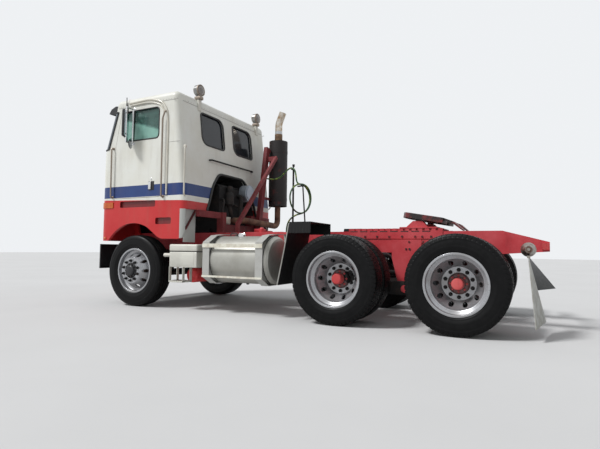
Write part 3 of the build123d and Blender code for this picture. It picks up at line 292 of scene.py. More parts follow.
class Finish:
    # A material and the nodes that feed its shader; every pattern lies in the object's own axes.

    def __init__(self, name, roughness=0.5, metallic=0.0, sockets=None):
        self.material = bpy.data.materials.new(name)
        self.material.use_nodes = True
        self.tree = self.material.node_tree
        self.shader = self.tree.nodes["Principled BSDF"].inputs
        for socket, value in {"Roughness": roughness, "Metallic": metallic, **(sockets or {})}.items():
            self.shader[socket].default_value = value
        self.where = self.tree.nodes.new("ShaderNodeTexCoord").outputs["Object"]

    def feed(self, socket, value):
        # Another node's output is linked; a number, a vector or a colour is set.
        if isinstance(value, bpy.types.NodeSocket):
            self.tree.links.new(value, socket)
        elif socket.type == "RGBA" and len(value) == 3:
            socket.default_value = tone(*value)
        else:
            socket.default_value = value

    def node(self, kind, values, **settings):
        # A new node's outputs, with its settings made and its inputs fed by name or number.
        node = self.tree.nodes.new("ShaderNode" + kind)
        for setting, value in settings.items():
            setattr(node, setting, value)
        for socket, value in values.items():
            self.feed(node.inputs[socket], value)
        return node.outputs

    def noise(self, scale, detail, stretch=(1, 1, 1), seed=0.0):
        # Clouds about 1 / scale across, stretched along an axis where its factor is below 1, and shifted by the seed.
        shift = (seed, seed * 1.7, seed * 0.6)
        vector = self.node("Mapping", {"Vector": self.where, "Scale": stretch, "Location": shift})["Vector"]
        return self.node("TexNoise", {"Vector": vector, "Scale": scale, "Detail": detail, "Roughness": 0.6})["Fac"]

    def ramp(self, factor, *stops):
        # Colours at shares from 0 to 1 of the factor.
        ramp = self.tree.nodes.new("ShaderNodeValToRGB")
        for element, (share, colour) in zip([*ramp.color_ramp.elements, *[None] * (len(stops) - 2)], stops):
            element = element or ramp.color_ramp.elements.new(share)
            element.position = share
            element.color = colour if len(colour) == 4 else tone(*colour)
        self.feed(ramp.inputs["Fac"], factor)
        return ramp.outputs["Color"]

    def mask(self, factor, low, high):
        # 0 below low, 1 above high, and a straight slope between.
        return self.node("MapRange", {"Value": factor, "From Min": low, "From Max": high})["Result"]

    def spread(self, factor, low, high):
        # The factor's 0.3 to 0.7 spread over low to high.
        limits = {"From Min": 0.3, "From Max": 0.7, "To Min": low, "To Max": high}
        return self.node("MapRange", {"Value": factor, **limits})["Result"]

    def math(self, kind, *values):
        return self.node("Math", dict(enumerate(values)), operation=kind)[0]

    def times(self, first, second):
        return self.math("MULTIPLY", first, second)

    def between(self, value, low, high):
        # 1 where the value lies between low and high, and 0 elsewhere.
        return self.times(self.math("GREATER_THAN", value, low), self.math("LESS_THAN", value, high))

    def mix(self, factor, first, second):
        # From the first colour to the second.
        return self.node("Mix", {0: factor, 6: first, 7: second}, data_type="RGBA")[2]

    def blend(self, factor, first, second):
        # From the first number to the second.
        return self.node("Mix", {0: factor, 2: first, 3: second})[0]

    def axes(self):
        # The place's x, y and z.
        return self.node("SeparateXYZ", {0: self.where})

    def inside(self, limits):
        # 1 between the limits {axis: (low, high)} of the frame and 0 outside, as a product of steps.
        place, inside = self.axes(), 1.0
        for axis, (low, high) in limits.items():
            inside = self.times(inside, self.between(place[axis], low, high))
        return inside

    def made(self, colour, roughness=None, metallic=None, bump=None):
        # The material, with its shader fed; bump is a height, its strength and its distance.
        for socket, value in (("Base Color", colour), ("Roughness", roughness), ("Metallic", metallic)):
            if value is not None:
                self.feed(self.shader[socket], value)
        if bump:
            height, strength, distance = bump
            values = {"Height": height, "Strength": strength, "Distance": distance}
            self.feed(self.shader["Normal"], self.node("Bump", values)["Normal"])
        return self.material


def wornPaint(name, base, faded, roughness, dirt, dirtColour=(70, 55, 50), coat=0.0):
    # Paint that fades in clouds, with dust in streaks and an uneven gloss.
    f = Finish(name, roughness, sockets={"Coat Weight": coat, "Coat Roughness": 0.12})
    colour = f.ramp(f.noise(3.0, 8, seed=1.3), (0.35, base), (0.68, faded))
    streak = f.noise(9.0, 10, stretch=(1, 1, 0.25), seed=4.0)
    colour = f.mix(f.times(f.mask(streak, 0.52, 0.8), dirt), colour, dirtColour)
    fine = f.noise(45.0, 4, seed=2.0)
    return f.made(colour, f.spread(fine, roughness - 0.08, roughness + 0.16), bump=(fine, 0.06, 0.002))


cabPaintSpec = {
    "white": (226, 227, 221), "cream": (214, 212, 200),
    "blue": (16, 46, 106), "blueDull": (26, 60, 118),
    "red": (188, 24, 28), "redDull": (196, 46, 46),
    "blueLow": 1.588, "blueHigh": 1.758,
    "redEdgeRear": 1.515, "redEdgeRise": 0.032, "rearStation": 3.66,
    "splash": (176, 178, 174), "splashPlate": {0: (1.39, 1.47), 2: (0.9, 1.396)},
    # Next row: a darker red, painted shade, for faces inward of the side skin over the front wheel, and the limits of
    # that shade
    "recess": (112, 16, 20), "shadeInsideY": 1.152, "shadePart": {0: (1.60, 2.66), 2: (1.18, 1.534)},
    "film": (120, 104, 86), "filmShare": 0.22,
}


def cabPaint(spec):
    # Red skirt, white stripe, blue band and white above, by height; the red edge rises slightly forwards. Faces inward
    # of the side skin over the front wheel get a darker red, which is painted shade.
    f = Finish("cab_paint", 0.4, sockets={"Coat Weight": 0.12, "Coat Roughness": 0.2})
    x, y, z = f.axes()
    cloud = f.noise(2.2, 8, seed=0.7)
    white = f.ramp(cloud, (0.3, spec["white"]), (0.75, spec["cream"]))
    blue = f.ramp(cloud, (0.35, spec["blue"]), (0.7, spec["blueDull"]))
    red = f.ramp(cloud, (0.38, spec["red"]), (0.66, spec["redDull"]))
    inBlue = f.between(z, spec["blueLow"], spec["blueHigh"])
    slope = f.times(f.math("SUBTRACT", x, spec["rearStation"] - middleStation), spec["redEdgeRise"])
    inRed = f.math("LESS_THAN", f.math("SUBTRACT", z, slope), spec["redEdgeRear"])
    colour = f.mix(inRed, f.mix(inBlue, white, blue), red)
    colour = f.mix(f.inside(spec["splashPlate"]), colour, spec["splash"])
    # Painted shade: a darker red on faces inward of the side skin, over the front wheel
    shadedInside = f.math("LESS_THAN", f.math("ABSOLUTE", y), spec["shadeInsideY"])
    colour = f.mix(f.times(shadedInside, f.inside(spec["shadePart"])), colour, spec["recess"])
    streak = f.noise(7.0, 10, stretch=(1, 1, 0.15), seed=3.0)
    colour = f.mix(f.times(f.mask(streak, 0.5, 0.85), spec["filmShare"]), colour, spec["film"])
    return f.made(colour, f.spread(f.noise(60.0, 4), 0.34, 0.52), bump=(f.noise(5.0, 3, seed=9.0), 0.05, 0.004))


greaseSpec = {"at": (-0.925, 0.935, 0.545), "radius": 0.105, "colour": (14, 13, 13)}  # by the left middle hub


def greased(f, colour, spec):
    # A dark patch where the distance to its middle, wavered by noise, is less than its radius.
    reach = f.node("VectorMath", {0: f.where, 1: spec["at"]}, operation="DISTANCE")["Value"]
    waver = f.times(f.noise(22.0, 5, seed=1.9), 0.07)
    return f.mix(f.math("LESS_THAN", f.math("ADD", reach, waver), spec["radius"]), colour, spec["colour"])


def brightMetal(name, base, roughness, grain, stain, stainColour=(110, 104, 96), scale=60.0, metallic=1.0, grease=None):
    # Bare metal with brushed grain, water stains and a roughness that follows both.
    f = Finish(name, roughness, metallic)
    cloud = f.noise(4.0, 9, seed=2.2)
    colour = f.mix(f.times(f.mask(cloud, 0.45, 0.75), stain), base, stainColour)
    if grease:
        colour = greased(f, colour, grease)
    brushed = f.noise(scale, 5, stretch=grain)
    rough = f.math("ADD", f.spread(brushed, roughness * 0.7, roughness * 1.35), f.times(cloud, 0.12))
    return f.made(colour, rough, bump=(brushed, 0.05, 0.001))


def rustedIron(name, dark, rust, share, roughness=0.75, metallic=0.2):
    # Dark iron with rust in patches and grit over both.
    f = Finish(name, roughness, metallic)
    colour = f.ramp(f.noise(11.0, 10, seed=5.0), (share - 0.12, dark), (share + 0.1, rust))
    grit = f.noise(90.0, 5)
    colour = f.mix(f.times(f.mask(grit, 0.5, 0.8), 0.35), colour, (26, 20, 18))
    return f.made(colour, f.spread(grit, roughness - 0.12, roughness + 0.1), bump=(grit, 0.3, 0.002))


def blackRubber(name, base, dusty, roughness, dust, gloss=0.5):
    # Rubber with road dust in patches and a fine grain.
    f = Finish(name, roughness, sockets={"Specular IOR Level": gloss})
    patch = f.noise(14.0, 9, seed=6.0)
    colour = f.mix(f.times(f.mask(patch, 0.42, 0.75), dust), base, dusty)
    rough = f.spread(patch, roughness - 0.14, roughness + 0.14)
    return f.made(colour, rough, bump=(f.noise(160.0, 3), 0.12, 0.001))


def tintedGlass(name, colour, roughness, clear, paleBelow=None):
    # Tinted glass with a thin film of dust; the last argument makes the glass pale and opaque below a line that falls
    # rearwards.
    f = Finish(name, roughness, sockets={"IOR": 1.5, "Transmission Weight": clear})
    film = f.noise(6.0, 8, seed=8.0)
    tint = f.ramp(film, (0.3, colour), (0.8, paler(tone(*colour), 1.7)))
    if paleBelow:
        x, y, z = f.axes()
        line = f.math("ADD", paleBelow["top"], f.times(f.math("SUBTRACT", x, paleBelow["x"]), paleBelow["slope"]))
        below = f.mask(f.math("SUBTRACT", line, z), -0.01, 0.03)
        share = f.times(below, f.spread(f.noise(5.0, 6, seed=4.4), 0.55, 0.8))
        tint = f.mix(share, tint, paleBelow["colour"])
        f.feed(f.shader["Transmission Weight"], f.blend(share, clear, 0.0))
    return f.made(tint, f.spread(film, roughness, roughness + 0.1))


def ribbedLens(name, colour, flutes=140.0):
    # Moulded plastic lens: upright flutes under a glossy skin.
    f = Finish(name, 0.22, sockets={"Coat Weight": 0.6, "Transmission Weight": 0.15})
    wave = f.node("TexWave", {"Scale": flutes / 6, "Vector": f.where}, bands_direction="X")["Fac"]
    return f.made(f.ramp(wave, (0.2, colour), (0.9, paler(tone(*colour), 1.5, 0.02))), bump=(wave, 0.3, 0.002))


def grainedVinyl(name, base, pale, roughness=0.55):
    # Vinyl or moulded plastic with a leather-like cell grain.
    f = Finish(name, roughness)
    cells = f.node("TexVoronoi", {"Scale": 260, "Vector": f.where})["Distance"]
    cloud = f.noise(8.0, 6, seed=3.3)
    rough = f.spread(cloud, roughness - 0.1, roughness + 0.12)
    return f.made(f.ramp(cloud, (0.3, base), (0.75, pale)), rough, bump=(cells, 0.25, 0.001))


def zonedFinish(name, base, zones, roughness=0.45, metallic=0.0, dirt=0.4, dirtColour=(70, 60, 54)):
    # One solid in several finishes. Columns of a zone: limits by axis in the frame, colour, patches, roughness, metal.
    f = Finish(name)
    cloud = f.noise(9.0, 9, seed=3.6)
    colour, rough, metal = base, roughness, metallic
    for limits, plain, patch, zoneRough, zoneMetal in zones:
        inside = f.inside(limits)
        colour = f.mix(inside, colour, f.ramp(cloud, (0.44, plain), (0.58, patch)))
        rough = f.blend(inside, rough, zoneRough)
        metal = f.blend(inside, metal, zoneMetal)
    grime = f.times(f.mask(f.noise(17.0, 8, seed=7.7), 0.5, 0.8), dirt)
    fine = f.noise(55.0, 4)
    rough = f.math("ADD", f.spread(fine, -0.05, 0.12), rough)
    return f.made(f.mix(grime, colour, dirtColour), rough, metal, (fine, 0.1, 0.002))


stackSpec = {"x": 1.122, "y": -0.950, "shieldLow": 1.60, "shieldHigh": 2.75, "neckHigh": 2.885, "bandHigh": 2.935,
             "tipHigh": 4.0, "holesAround": 44.0, "holesAlong": 270.0}


def stackFinish(spec):
    # By height: rusty pipe, black shield with rows of small holes and red patches, brown neck, silver band and a
    # stained tip.
    f = Finish("stack_finish")
    x, y, z = f.axes()
    cloud = f.noise(10.0, 9, seed=5.5)
    angle = f.math("ARCTAN2", f.math("SUBTRACT", y, spec["y"]), f.math("SUBTRACT", x, spec["x"]))
    around = f.math("SINE", f.times(angle, spec["holesAround"]))
    along = f.math("SINE", f.times(z, spec["holesAlong"]))
    plate = f.ramp(cloud, (0.58, (40, 35, 35)), (0.70, (92, 40, 38)))
    shield = f.mix(f.mask(f.times(around, along), 0.25, 0.45), plate, (9, 8, 8))
    neck = f.ramp(cloud, (0.38, (84, 60, 44)), (0.62, (126, 100, 74)))
    tip = f.ramp(cloud, (0.40, (206, 200, 190)), (0.64, (150, 122, 88)))
    colour, rough, metal = f.ramp(cloud, (0.36, (88, 62, 52)), (0.62, (140, 104, 84))), 0.78, 0.15
    # Columns: lower end, upper end, colour, roughness, metal
    for low, high, zone, zoneRough, zoneMetal in ((spec["shieldLow"], spec["shieldHigh"], shield, 0.6, 0.2),
                                                  (spec["shieldHigh"], spec["neckHigh"], neck, 0.5, 0.4),
                                                  (spec["neckHigh"], spec["bandHigh"], (186, 188, 190), 0.35, 0.8),
                                                  (spec["bandHigh"], spec["tipHigh"], tip, 0.2, 0.95)):
        inside = f.inside({2: (low, high)})
        colour = f.mix(inside, colour, zone)
        rough, metal = f.blend(inside, rough, zoneRough), f.blend(inside, metal, zoneMetal)
    return f.made(colour, rough, metal, (f.noise(90.0, 4), 0.15, 0.002))


def hosePaint():
    # Green hose with black scuffs and yellow highlights along it.
    f = Finish("hose_green", 0.45)
    colour = f.ramp(f.noise(16.0, 6, seed=2.0), (0.38, (26, 40, 30)), (0.5, (46, 92, 52)), (0.66, (140, 150, 60)))
    return f.made(colour, bump=(f.noise(120.0, 3), 0.15, 0.001))


even = (1, 1, 1)  # a grain that isn't stretched
paint = cabPaint(cabPaintSpec)
frameRed = wornPaint("frame_red", (182, 34, 44), (202, 76, 82), 0.5, 0.4, (82, 46, 46))
capRed = wornPaint("cap_red", (188, 58, 60), (206, 96, 94), 0.6, 0.7, (60, 40, 38))
tankRed = wornPaint("tank_red", (206, 44, 48), (214, 74, 74), 0.42, 0.25)
# Cab cradle: the frame's red made darker as painted shade under the cab; its dark streaks stand for dust
cradleShadedRed = wornPaint("cradle_shaded_red", (104, 22, 28), (132, 50, 52), 0.62, 0.8, (50, 34, 32))
# Splash braces: red made darker still, as painted shade behind the skirt
braceShadedRed = wornPaint("brace_shaded_red", (78, 22, 26), (104, 38, 40), 0.6, 0.6, (40, 28, 26))
blackPaint = wornPaint("black_paint", (15, 15, 18), (32, 32, 36), 0.42, 0.35, (64, 60, 54), 0.15)
creamPaint = wornPaint("cream_paint", (214, 211, 200), (196, 190, 174), 0.4, 0.35, (104, 88, 72), 0.2)
greyPaint = wornPaint("grey_paint", (176, 176, 170), (150, 148, 142), 0.55, 0.5, (92, 82, 72))
wheelMetal = brightMetal("wheel_metal", (170, 171, 174), 0.24, (1, 14, 1), 0.5, (118, 112, 106), 30.0, 0.6, greaseSpec)
hubGrey = brightMetal("hub_grey", (110, 92, 90), 0.5, even, 0.9, (104, 42, 42), 50.0, 0.2, greaseSpec)
tankMetal = brightMetal("tank_metal", (178, 177, 170), 0.38, (14, 1, 1), 0.5, (136, 132, 122), 26.0, 0.6)
railMetal = brightMetal("rail_metal", (150, 138, 126), 0.4, even, 0.5, (104, 84, 70), 40.0, 0.6)
domeMetal = brightMetal("dome_metal", (168, 176, 186), 0.38, even, 0.4, (122, 124, 128), 20.0, 0.6)
sheetMetal = brightMetal("sheet_metal", (190, 190, 188), 0.42, (1, 1, 8), 0.5, (138, 134, 128), 20.0)
boxMetal = brightMetal("box_metal", (206, 205, 196), 0.5, (1, 1, 6), 0.4, (150, 146, 136), 18.0, 0.3)
chrome = brightMetal("chrome", (226, 226, 226), 0.12, even, 0.2)
mirrorGlass = brightMetal("mirror_glass", (206, 212, 218), 0.04, even, 0.12)
iron = rustedIron("dark_iron", (20, 19, 20), (48, 38, 34), 0.62)
axleIron = rustedIron("axle_iron", (24, 22, 22), (54, 40, 34), 0.62)
rustIron = rustedIron("rust_iron", (40, 32, 30), (86, 60, 48), 0.55)
greasy = rustedIron("greasy_plate", (34, 28, 28), (128, 44, 46), 0.56, 0.5, 0.1)
tyreBlack = blackRubber("tyre_black", (8, 8, 9), (28, 28, 28), 0.45, 0.25, gloss=0.16)
flapBlack = blackRubber("flap_black", (12, 12, 13), (32, 31, 31), 0.6, 0.4, gloss=0.3)
gasketBlack = blackRubber("gasket_black", (18, 18, 19), (52, 50, 48), 0.55, 0.4)
flapFinish = zonedFinish("flap_finish", (20, 21, 22), [
    ({1: (0, 2)}, (172, 173, 168), (150, 148, 140), 0.6, 0)], 0.55, 0, 0.3, (104, 100, 92))
hangerFinish = zonedFinish("hanger_finish", (170, 32, 42), [
    ({0: (-3, -2.5), 1: ends}, (150, 146, 138), (108, 84, 74), 0.35, 0.6) for ends in ((0.6, 2), (-2, -0.6))], 0.5)
lampFinish = zonedFinish("lamp_finish", (208, 206, 196), [
    ({2: (3.12, 4)}, (150, 151, 152), (120, 118, 114), 0.3, 0.7),
    ({0: (2.7, 3.3), 2: (1.43, 1.53)}, (184, 84, 20), (200, 104, 34), 0.25, 0),
    ({0: (3.05, 3.3), 2: (1.10, 1.33)}, (196, 198, 200), (150, 150, 150), 0.2, 0.9)], 0.4, 0, 0.2)
bracketFinish = zonedFinish("bracket_finish", (176, 176, 172), [
    ({1: faces}, (226, 224, 210), (206, 200, 184), 0.45, 0.1) for faces in ((1.1785, 1.3), (-1.3, -1.1785))],
    0.5, 0.12, 0.25, (120, 112, 100))
stack = stackFinish(stackSpec)
doorGlass = tintedGlass("door_glass", (120, 166, 156), 0.03, 0.85,
                        {"colour": (158, 206, 190), "top": 2.655, "x": 2.2, "slope": 0.30})
cabGlass = tintedGlass("cab_glass", (34, 38, 44), 0.05, 0.3)
wrapGlass = tintedGlass("wrap_glass", (40, 52, 60), 0.06, 0.0)
amberLens = ribbedLens("amber_lens", (190, 88, 22))
redLens = ribbedLens("red_lens", (176, 22, 24))
clearLens = ribbedLens("clear_lens", (206, 210, 212), 90.0)
workLens = ribbedLens("work_lens", (112, 104, 98), 90.0)
dashPlastic = grainedVinyl("dash_plastic", (44, 44, 46), (70, 68, 66))
seatVinyl = grainedVinyl("seat_vinyl", (92, 34, 34), (120, 54, 52))
rimPlastic = grainedVinyl("rim_plastic", (22, 22, 23), (44, 43, 42), 0.4)
hoseGreen = hosePaint()

# Columns: finish, nodes that wear it; every other node is dark iron
nodeFinishes = [
    (paint, "cab_roof cab_front cab_rear_wall cab_side_left cab_side_right door_left door_right"),
    (dashPlastic, "cab_floor dashboard"),
    (cabGlass, "cab_glass"),
    (doorGlass, "door_glass_left door_glass_right"),
    (blackPaint, "sun_visor bumper"),
    (lampFinish, "cab_lamps"),
    (frameRed, "frame_rails crossmembers beam_saddles fifth_wheel_base"),
    (axleIron, "driveline axles_rear axle_front knuckle_left knuckle_right tie_rod walking_beams"),
    (tankMetal, "fuel_tanks"),
    (bracketFinish, "tank_brackets"),
    (tankRed, "air_tank"),
    (stack, "exhaust_stack"),
    (cradleShadedRed, "cab_cradle"),
    (domeMetal, "air_cleaner"),
    (flapBlack, "quarter_fenders"),
    (hangerFinish, "flap_hangers"),
    (flapFinish, "mud_flaps"),
    (redLens, "tail_lamps"),
    (greasy, "fifth_wheel_plate"),
]


def finishNodes(rows):
    # Every solid of the frame gets its finish, and its loose triangles a smooth shade that breaks at its edges.
    table = {name: finish for finish, names in rows for name in names.split()}
    for name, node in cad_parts.items():
        node.data.materials.clear()
        node.data.materials.append(table.get(name, iron))
        node.data.polygons.foreach_set("use_smooth", np.ones(len(node.data.polygons), bool))
        weld = node.modifiers.new("weld", "WELD")
        weld.merge_threshold = 2e-5
        split = node.modifiers.new("edges", "EDGE_SPLIT")
        split.split_angle = np.radians(28)


finishNodes(nodeFinishes)
print("finishes made")

# Air hose: the route from the mast over the post, one and a half turns on the hook, and down to the deck

hoseSpec = {
    "radius": 0.0125,
    "loopCentre": (2.545, -0.400, 1.655),
    "loopRadius": 0.240,
    "loopAcross": (-0.296, -0.955, 0.0),
    "loopNormal": (0.955, -0.296, 0.0),
    "firstAngle": 16,
    "lastAngle": 528,
    "turnPoints": 22,
    # Rows: angle, what it adds to the radius there
    "swell": [(16, -0.002), (60, -0.010), (120, -0.012), (180, -0.004), (300, 0.0), (360, -0.008), (400, 0.010),
              (450, 0.013), (500, 0.008), (528, -0.002)],
    # Rows: angle, how far the line lies along the loop's normal there
    "drift": [(16, 0.003), (200, 0.0), (300, -0.004), (345, -0.020), (380, -0.021), (420, -0.008), (470, 0.010),
              (528, 0.026)],
    "over": [(3.338, -0.610, 2.060), (3.230, -0.590, 2.035), (3.100, -0.560, 2.015), (2.970, -0.510, 2.035),
             (2.860, -0.460, 2.100), (2.785, -0.430, 2.148), (2.710, -0.403, 2.162), (2.650, -0.383, 2.130),
             (2.618, -0.370, 2.065), (2.605, -0.362, 1.995), (2.593, -0.355, 1.932), (2.565, -0.345, 1.887)],
    "down": [(2.560, -0.450, 1.421), (2.625, -0.415, 1.400), (2.695, -0.400, 1.360), (2.750, -0.398, 1.300),
             (2.780, -0.400, 1.220), (2.788, -0.402, 1.140), (2.790, -0.403, 1.097)],
}


def loopPoints(spec):
    # Centre plus radius times (sine across + cosine up); the first pass runs inside, the second outside it, and
    # the line drifts along the loop's normal so that the passes lie side by side.
    turn = np.radians(np.linspace(spec["firstAngle"], spec["lastAngle"], spec["turnPoints"]))
    radius = spec["loopRadius"] + np.interp(np.degrees(turn), *zip(*spec["swell"]))
    drift = np.interp(np.degrees(turn), *zip(*spec["drift"]))
    across, normal = np.array(spec["loopAcross"]), np.array(spec["loopNormal"])
    return (np.array(spec["loopCentre"]) + (radius * np.sin(turn))[:, None] * across
            + (radius * np.cos(turn))[:, None] * alongZ + drift[:, None] * normal)


def addHose(spec):
    route = placed(np.vstack([spec["over"], loopPoints(spec), spec["down"]]))
    curve = bpy.data.curves.new("air_hose_line", "CURVE")
    curve.dimensions = "3D"
    curve.bevel_depth = spec["radius"]
    curve.bevel_resolution = 3
    curve.resolution_u = 6
    curve.use_fill_caps = True
    spline = curve.splines.new("NURBS")
    spline.points.add(len(route) - 1)
    spline.points.foreach_set("co", np.hstack([route, np.ones((len(route), 1))]).ravel())
    spline.order_u = 3
    spline.use_endpoint_u = True
    curve.materials.append(hoseGreen)
    hose = bpy.data.objects.new("air_hose_line", curve)
    bpy.context.scene.collection.objects.link(hose)
    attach(hose, "chassis")
    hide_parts("air_hose")


addHose(hoseSpec)
print("hose made")

# Tyres: a profile of half a tyre from the middle of the tread to the bead, with the depth of the two kinds of slot

tyreSpec = {
    "pitches": 64,
    "slotDepth": 0.010,
    "shares": [0.0, 0.33, 0.36, 0.45, 0.48, 0.83, 0.86, 0.94],
    "shoulderSlot": [0, 0, 1, 1, 0, 0, 0, 0],
    "middleSlot": [0, 0, 0, 0, 0, 0, 1, 1],
    "ribSteps": 150,
}

# Columns: y from the tyre's middle, radius, share of shoulder slot, share of middle slot
driveTread = [
    (0.010, 0.5175, 0, 0), (0.012, 0.506, 0, 0), (0.020, 0.506, 0, 0), (0.022, 0.5175, 0, 1), (0.050, 0.517, 0, 1),
    (0.052, 0.506, 0, 0), (0.061, 0.506, 0, 0), (0.063, 0.5165, 1, 0), (0.104, 0.515, 1, 0), (0.115, 0.511, 1, 0),
    (0.122, 0.503, 1, 0), (0.127, 0.488, 0.8, 0), (0.130, 0.474, 0.2, 0), (0.1315, 0.470, 0, 0),
]
# Columns: y from the tyre's middle, radius
ribTread = [
    (0.018, 0.5178), (0.021, 0.507), (0.028, 0.507), (0.031, 0.5176), (0.058, 0.517), (0.061, 0.507), (0.068, 0.507),
    (0.071, 0.516), (0.098, 0.514), (0.108, 0.511), (0.116, 0.505), (0.124, 0.493), (0.129, 0.478), (0.1315, 0.470),
]
sidewall = [
    (0.1335, 0.462), (0.1325, 0.459), (0.1355, 0.444), (0.1378, 0.425), (0.1380, 0.405), (0.1370, 0.392),
    (0.1378, 0.389), (0.1350, 0.375), (0.1300, 0.356), (0.1260, 0.347), (0.1262, 0.342), (0.1195, 0.331),
    (0.1120, 0.3245), (0.1020, 0.3215), (0.0990, 0.3116),
]


def unslotted(line):
    # A line's points with no share of either slot.
    return [(y, radius, 0, 0) for y, radius in line]


def tyreSurface(spec, slotted, centre):
    # The half profile and its mirror make a closed ring; the radius drops by the slot depth where a slot passes.
    half = np.array((driveTread if slotted else unslotted(ribTread)) + unslotted(sidewall))
    ring = np.vstack([half[::-1] * (-1, 1, 1, 1), half])
    if slotted:
        turns = ((np.arange(spec["pitches"])[:, None] + spec["shares"]) / spec["pitches"]).ravel() * 2 * np.pi
        shoulder, middle = (np.tile(spec[kind], spec["pitches"]) for kind in ("shoulderSlot", "middleSlot"))
    else:
        turns = np.arange(spec["ribSteps"]) * 2 * np.pi / spec["ribSteps"]
        shoulder = middle = np.zeros(len(turns))
    depth = spec["slotDepth"] * (shoulder[:, None] * ring[:, 2] + middle[:, None] * ring[:, 3])
    radius = ring[:, 1] - depth
    x, z = radius * np.cos(turns)[:, None], radius * np.sin(turns)[:, None]
    return gridSurface(np.stack([x, ring[:, 0] + 0 * x, z], -1) + centre, wrapU=True, wrapV=True)


# Wheels: a barrel, a bolting face and between them a cone with hand holes. Lines are (y, radius) from the rim's middle

wheelSpec = {
    "holes": 10,
    "holeRadius": 0.026,
    "holeCircle": 0.222,
    "sideSteps": 8,
    "ringShares": [0, 0.12, 0.5, 1.0],
    "nutCircle": 0.1425,
    "nuts": 10,
    "nutHigh": 0.026,
    "nutRadius": 0.0185,
    "barrel": [(-0.014, 0.260), (0.028, 0.260), (0.050, 0.299), (0.1175, 0.299), (0.1175, 0.324), (0.1085, 0.324),
               (0.1085, 0.311), (0.062, 0.311), (0.036, 0.272), (-0.036, 0.272), (-0.062, 0.311), (-0.1085, 0.311),
               (-0.1085, 0.324), (-0.1175, 0.324), (-0.1175, 0.299), (-0.056, 0.299), (-0.040, 0.260)],
    "face": [(-0.168, 0.184), (-0.168, 0.112), (-0.146, 0.112), (-0.146, 0.176)],
    "coneFront": [(-0.014, 0.260), (-0.146, 0.176)],
    "coneBack": [(-0.040, 0.260), (-0.168, 0.184)],
}
wheelStations = {"front": 4.4945, "mid": 1.327, "rear": 0.0}

# Names of the body and the two nodes; y and facing of each rim; lines are (y, radius) from the vehicle's middle;
# columns of a ring of heads: y of its face, circle, count, radius, height
wheelKinds = {
    "front": {
        "names": ("front_wheel_{word}", "tyre_front_{word}", "wheel_front_{word}"),
        "rims": [(0.999, -1)],
        "slotted": False,
        "nutFace": 1.167,
        "studs": (1.172, 0.092, 10, 0.009, 0.014),
        "studFinish": iron,
        "hub": [(1.145, 0.112), (1.170, 0.110), (1.172, 0.080), (1.186, 0.078), (1.196, 0.072), (1.204, 0.058),
                (1.205, 0.0)],
        "hubBolts": [(1.196, 0.050, 6, 0.006, 0.006)],
        "hubFinish": blackPaint,
        "drum": [(0.925, 0.075), (0.925, 0.190), (0.925, 0.205), (1.100, 0.205), (1.112, 0.196), (1.112, 0.165),
                 (1.143, 0.160), (1.144, 0.100), (1.144, 0.075), (1.100, 0.075)],
        "flange": None,
    },
    "drive": {
        "names": ("{axle}_wheels_{word}", "tyres_{axle}_{word}", "wheels_{axle}_{word}"),
        "rims": [(1.078, 1), (0.742, -1)],
        "slotted": True,
        "nutFace": 0.932,
        "studs": (0.956, 0.084, 8, 0.010, 0.018),
        "studFinish": capRed,
        "hub": [(0.980, 0.064), (0.992, 0.064), (1.040, 0.063), (1.068, 0.060), (1.077, 0.050), (1.078, 0.0)],
        "hubBolts": [(0.958, 0.084, 8, 0.0125, 0.009), (1.070, 0.046, 6, 0.005, 0.006)],
        "hubFinish": capRed,
        "drum": [(0.650, 0.075), (0.650, 0.195), (0.650, 0.210), (0.700, 0.210), (0.702, 0.204), (0.868, 0.204),
                 (0.868, 0.165), (0.886, 0.165), (0.888, 0.120), (0.888, 0.075), (0.860, 0.075)],
        "flange": [(0.932, 0.112), (0.944, 0.109), (0.950, 0.100), (0.958, 0.097), (0.960, 0.072), (0.984, 0.067),
                   (0.984, 0.058)],
    },
}


def coneCell(cone, spec):
    # Rings from a hand hole's edge out to the edge of its share of the cone, as (y, radius, angle).
    (outerY, outerRadius), (innerY, innerRadius) = cone
    circle, steps = spec["holeCircle"], spec["sideSteps"]
    along = np.linspace(-1, 1, steps + 1)[:-1]
    whole = np.ones(steps)
    fourSides = ((whole, along), (-along, whole), (-whole, -along), (along, -whole))
    edge = np.vstack([np.stack(side, -1) for side in fourSides])
    radiusEdge = circle + edge[:, 0] * np.where(edge[:, 0] > 0, outerRadius - circle, circle - innerRadius)
    angleEdge = edge[:, 1] * np.pi / spec["holes"]
    reach = np.stack([radiusEdge - circle, angleEdge * circle], -1)
    unit = reach / np.linalg.norm(reach, axis=1, keepdims=True)
    radiusHole = circle + spec["holeRadius"] * unit[:, 0]
    angleHole = spec["holeRadius"] * unit[:, 1] / circle
    share = np.array(spec["ringShares"])[:, None]
    radius = radiusHole * (1 - share) + radiusEdge * share
    angle = angleHole * (1 - share) + angleEdge * share
    y = outerY + (innerY - outerY) * (outerRadius - radius) / (outerRadius - innerRadius)
    return np.stack([y, radius, angle], -1)


def coneSurface(spec):
    # Both faces of the cone and the walls of its hand holes, for every hole.
    front, back = coneCell(spec["coneFront"], spec), coneCell(spec["coneBack"], spec)
    centres = np.arange(spec["holes"]) * 2 * np.pi / spec["holes"]
    surfaces = []
    for cell in (front, back, np.stack([front[0], back[0]])):
        angle = cell[..., 2] + centres[:, None, None]
        points = np.stack([cell[..., 1] * np.cos(angle), cell[..., 0] + 0 * angle, cell[..., 1] * np.sin(angle)], -1)
        surfaces += [gridSurface(part, wrapV=True) for part in points]
    return joined(*surfaces)


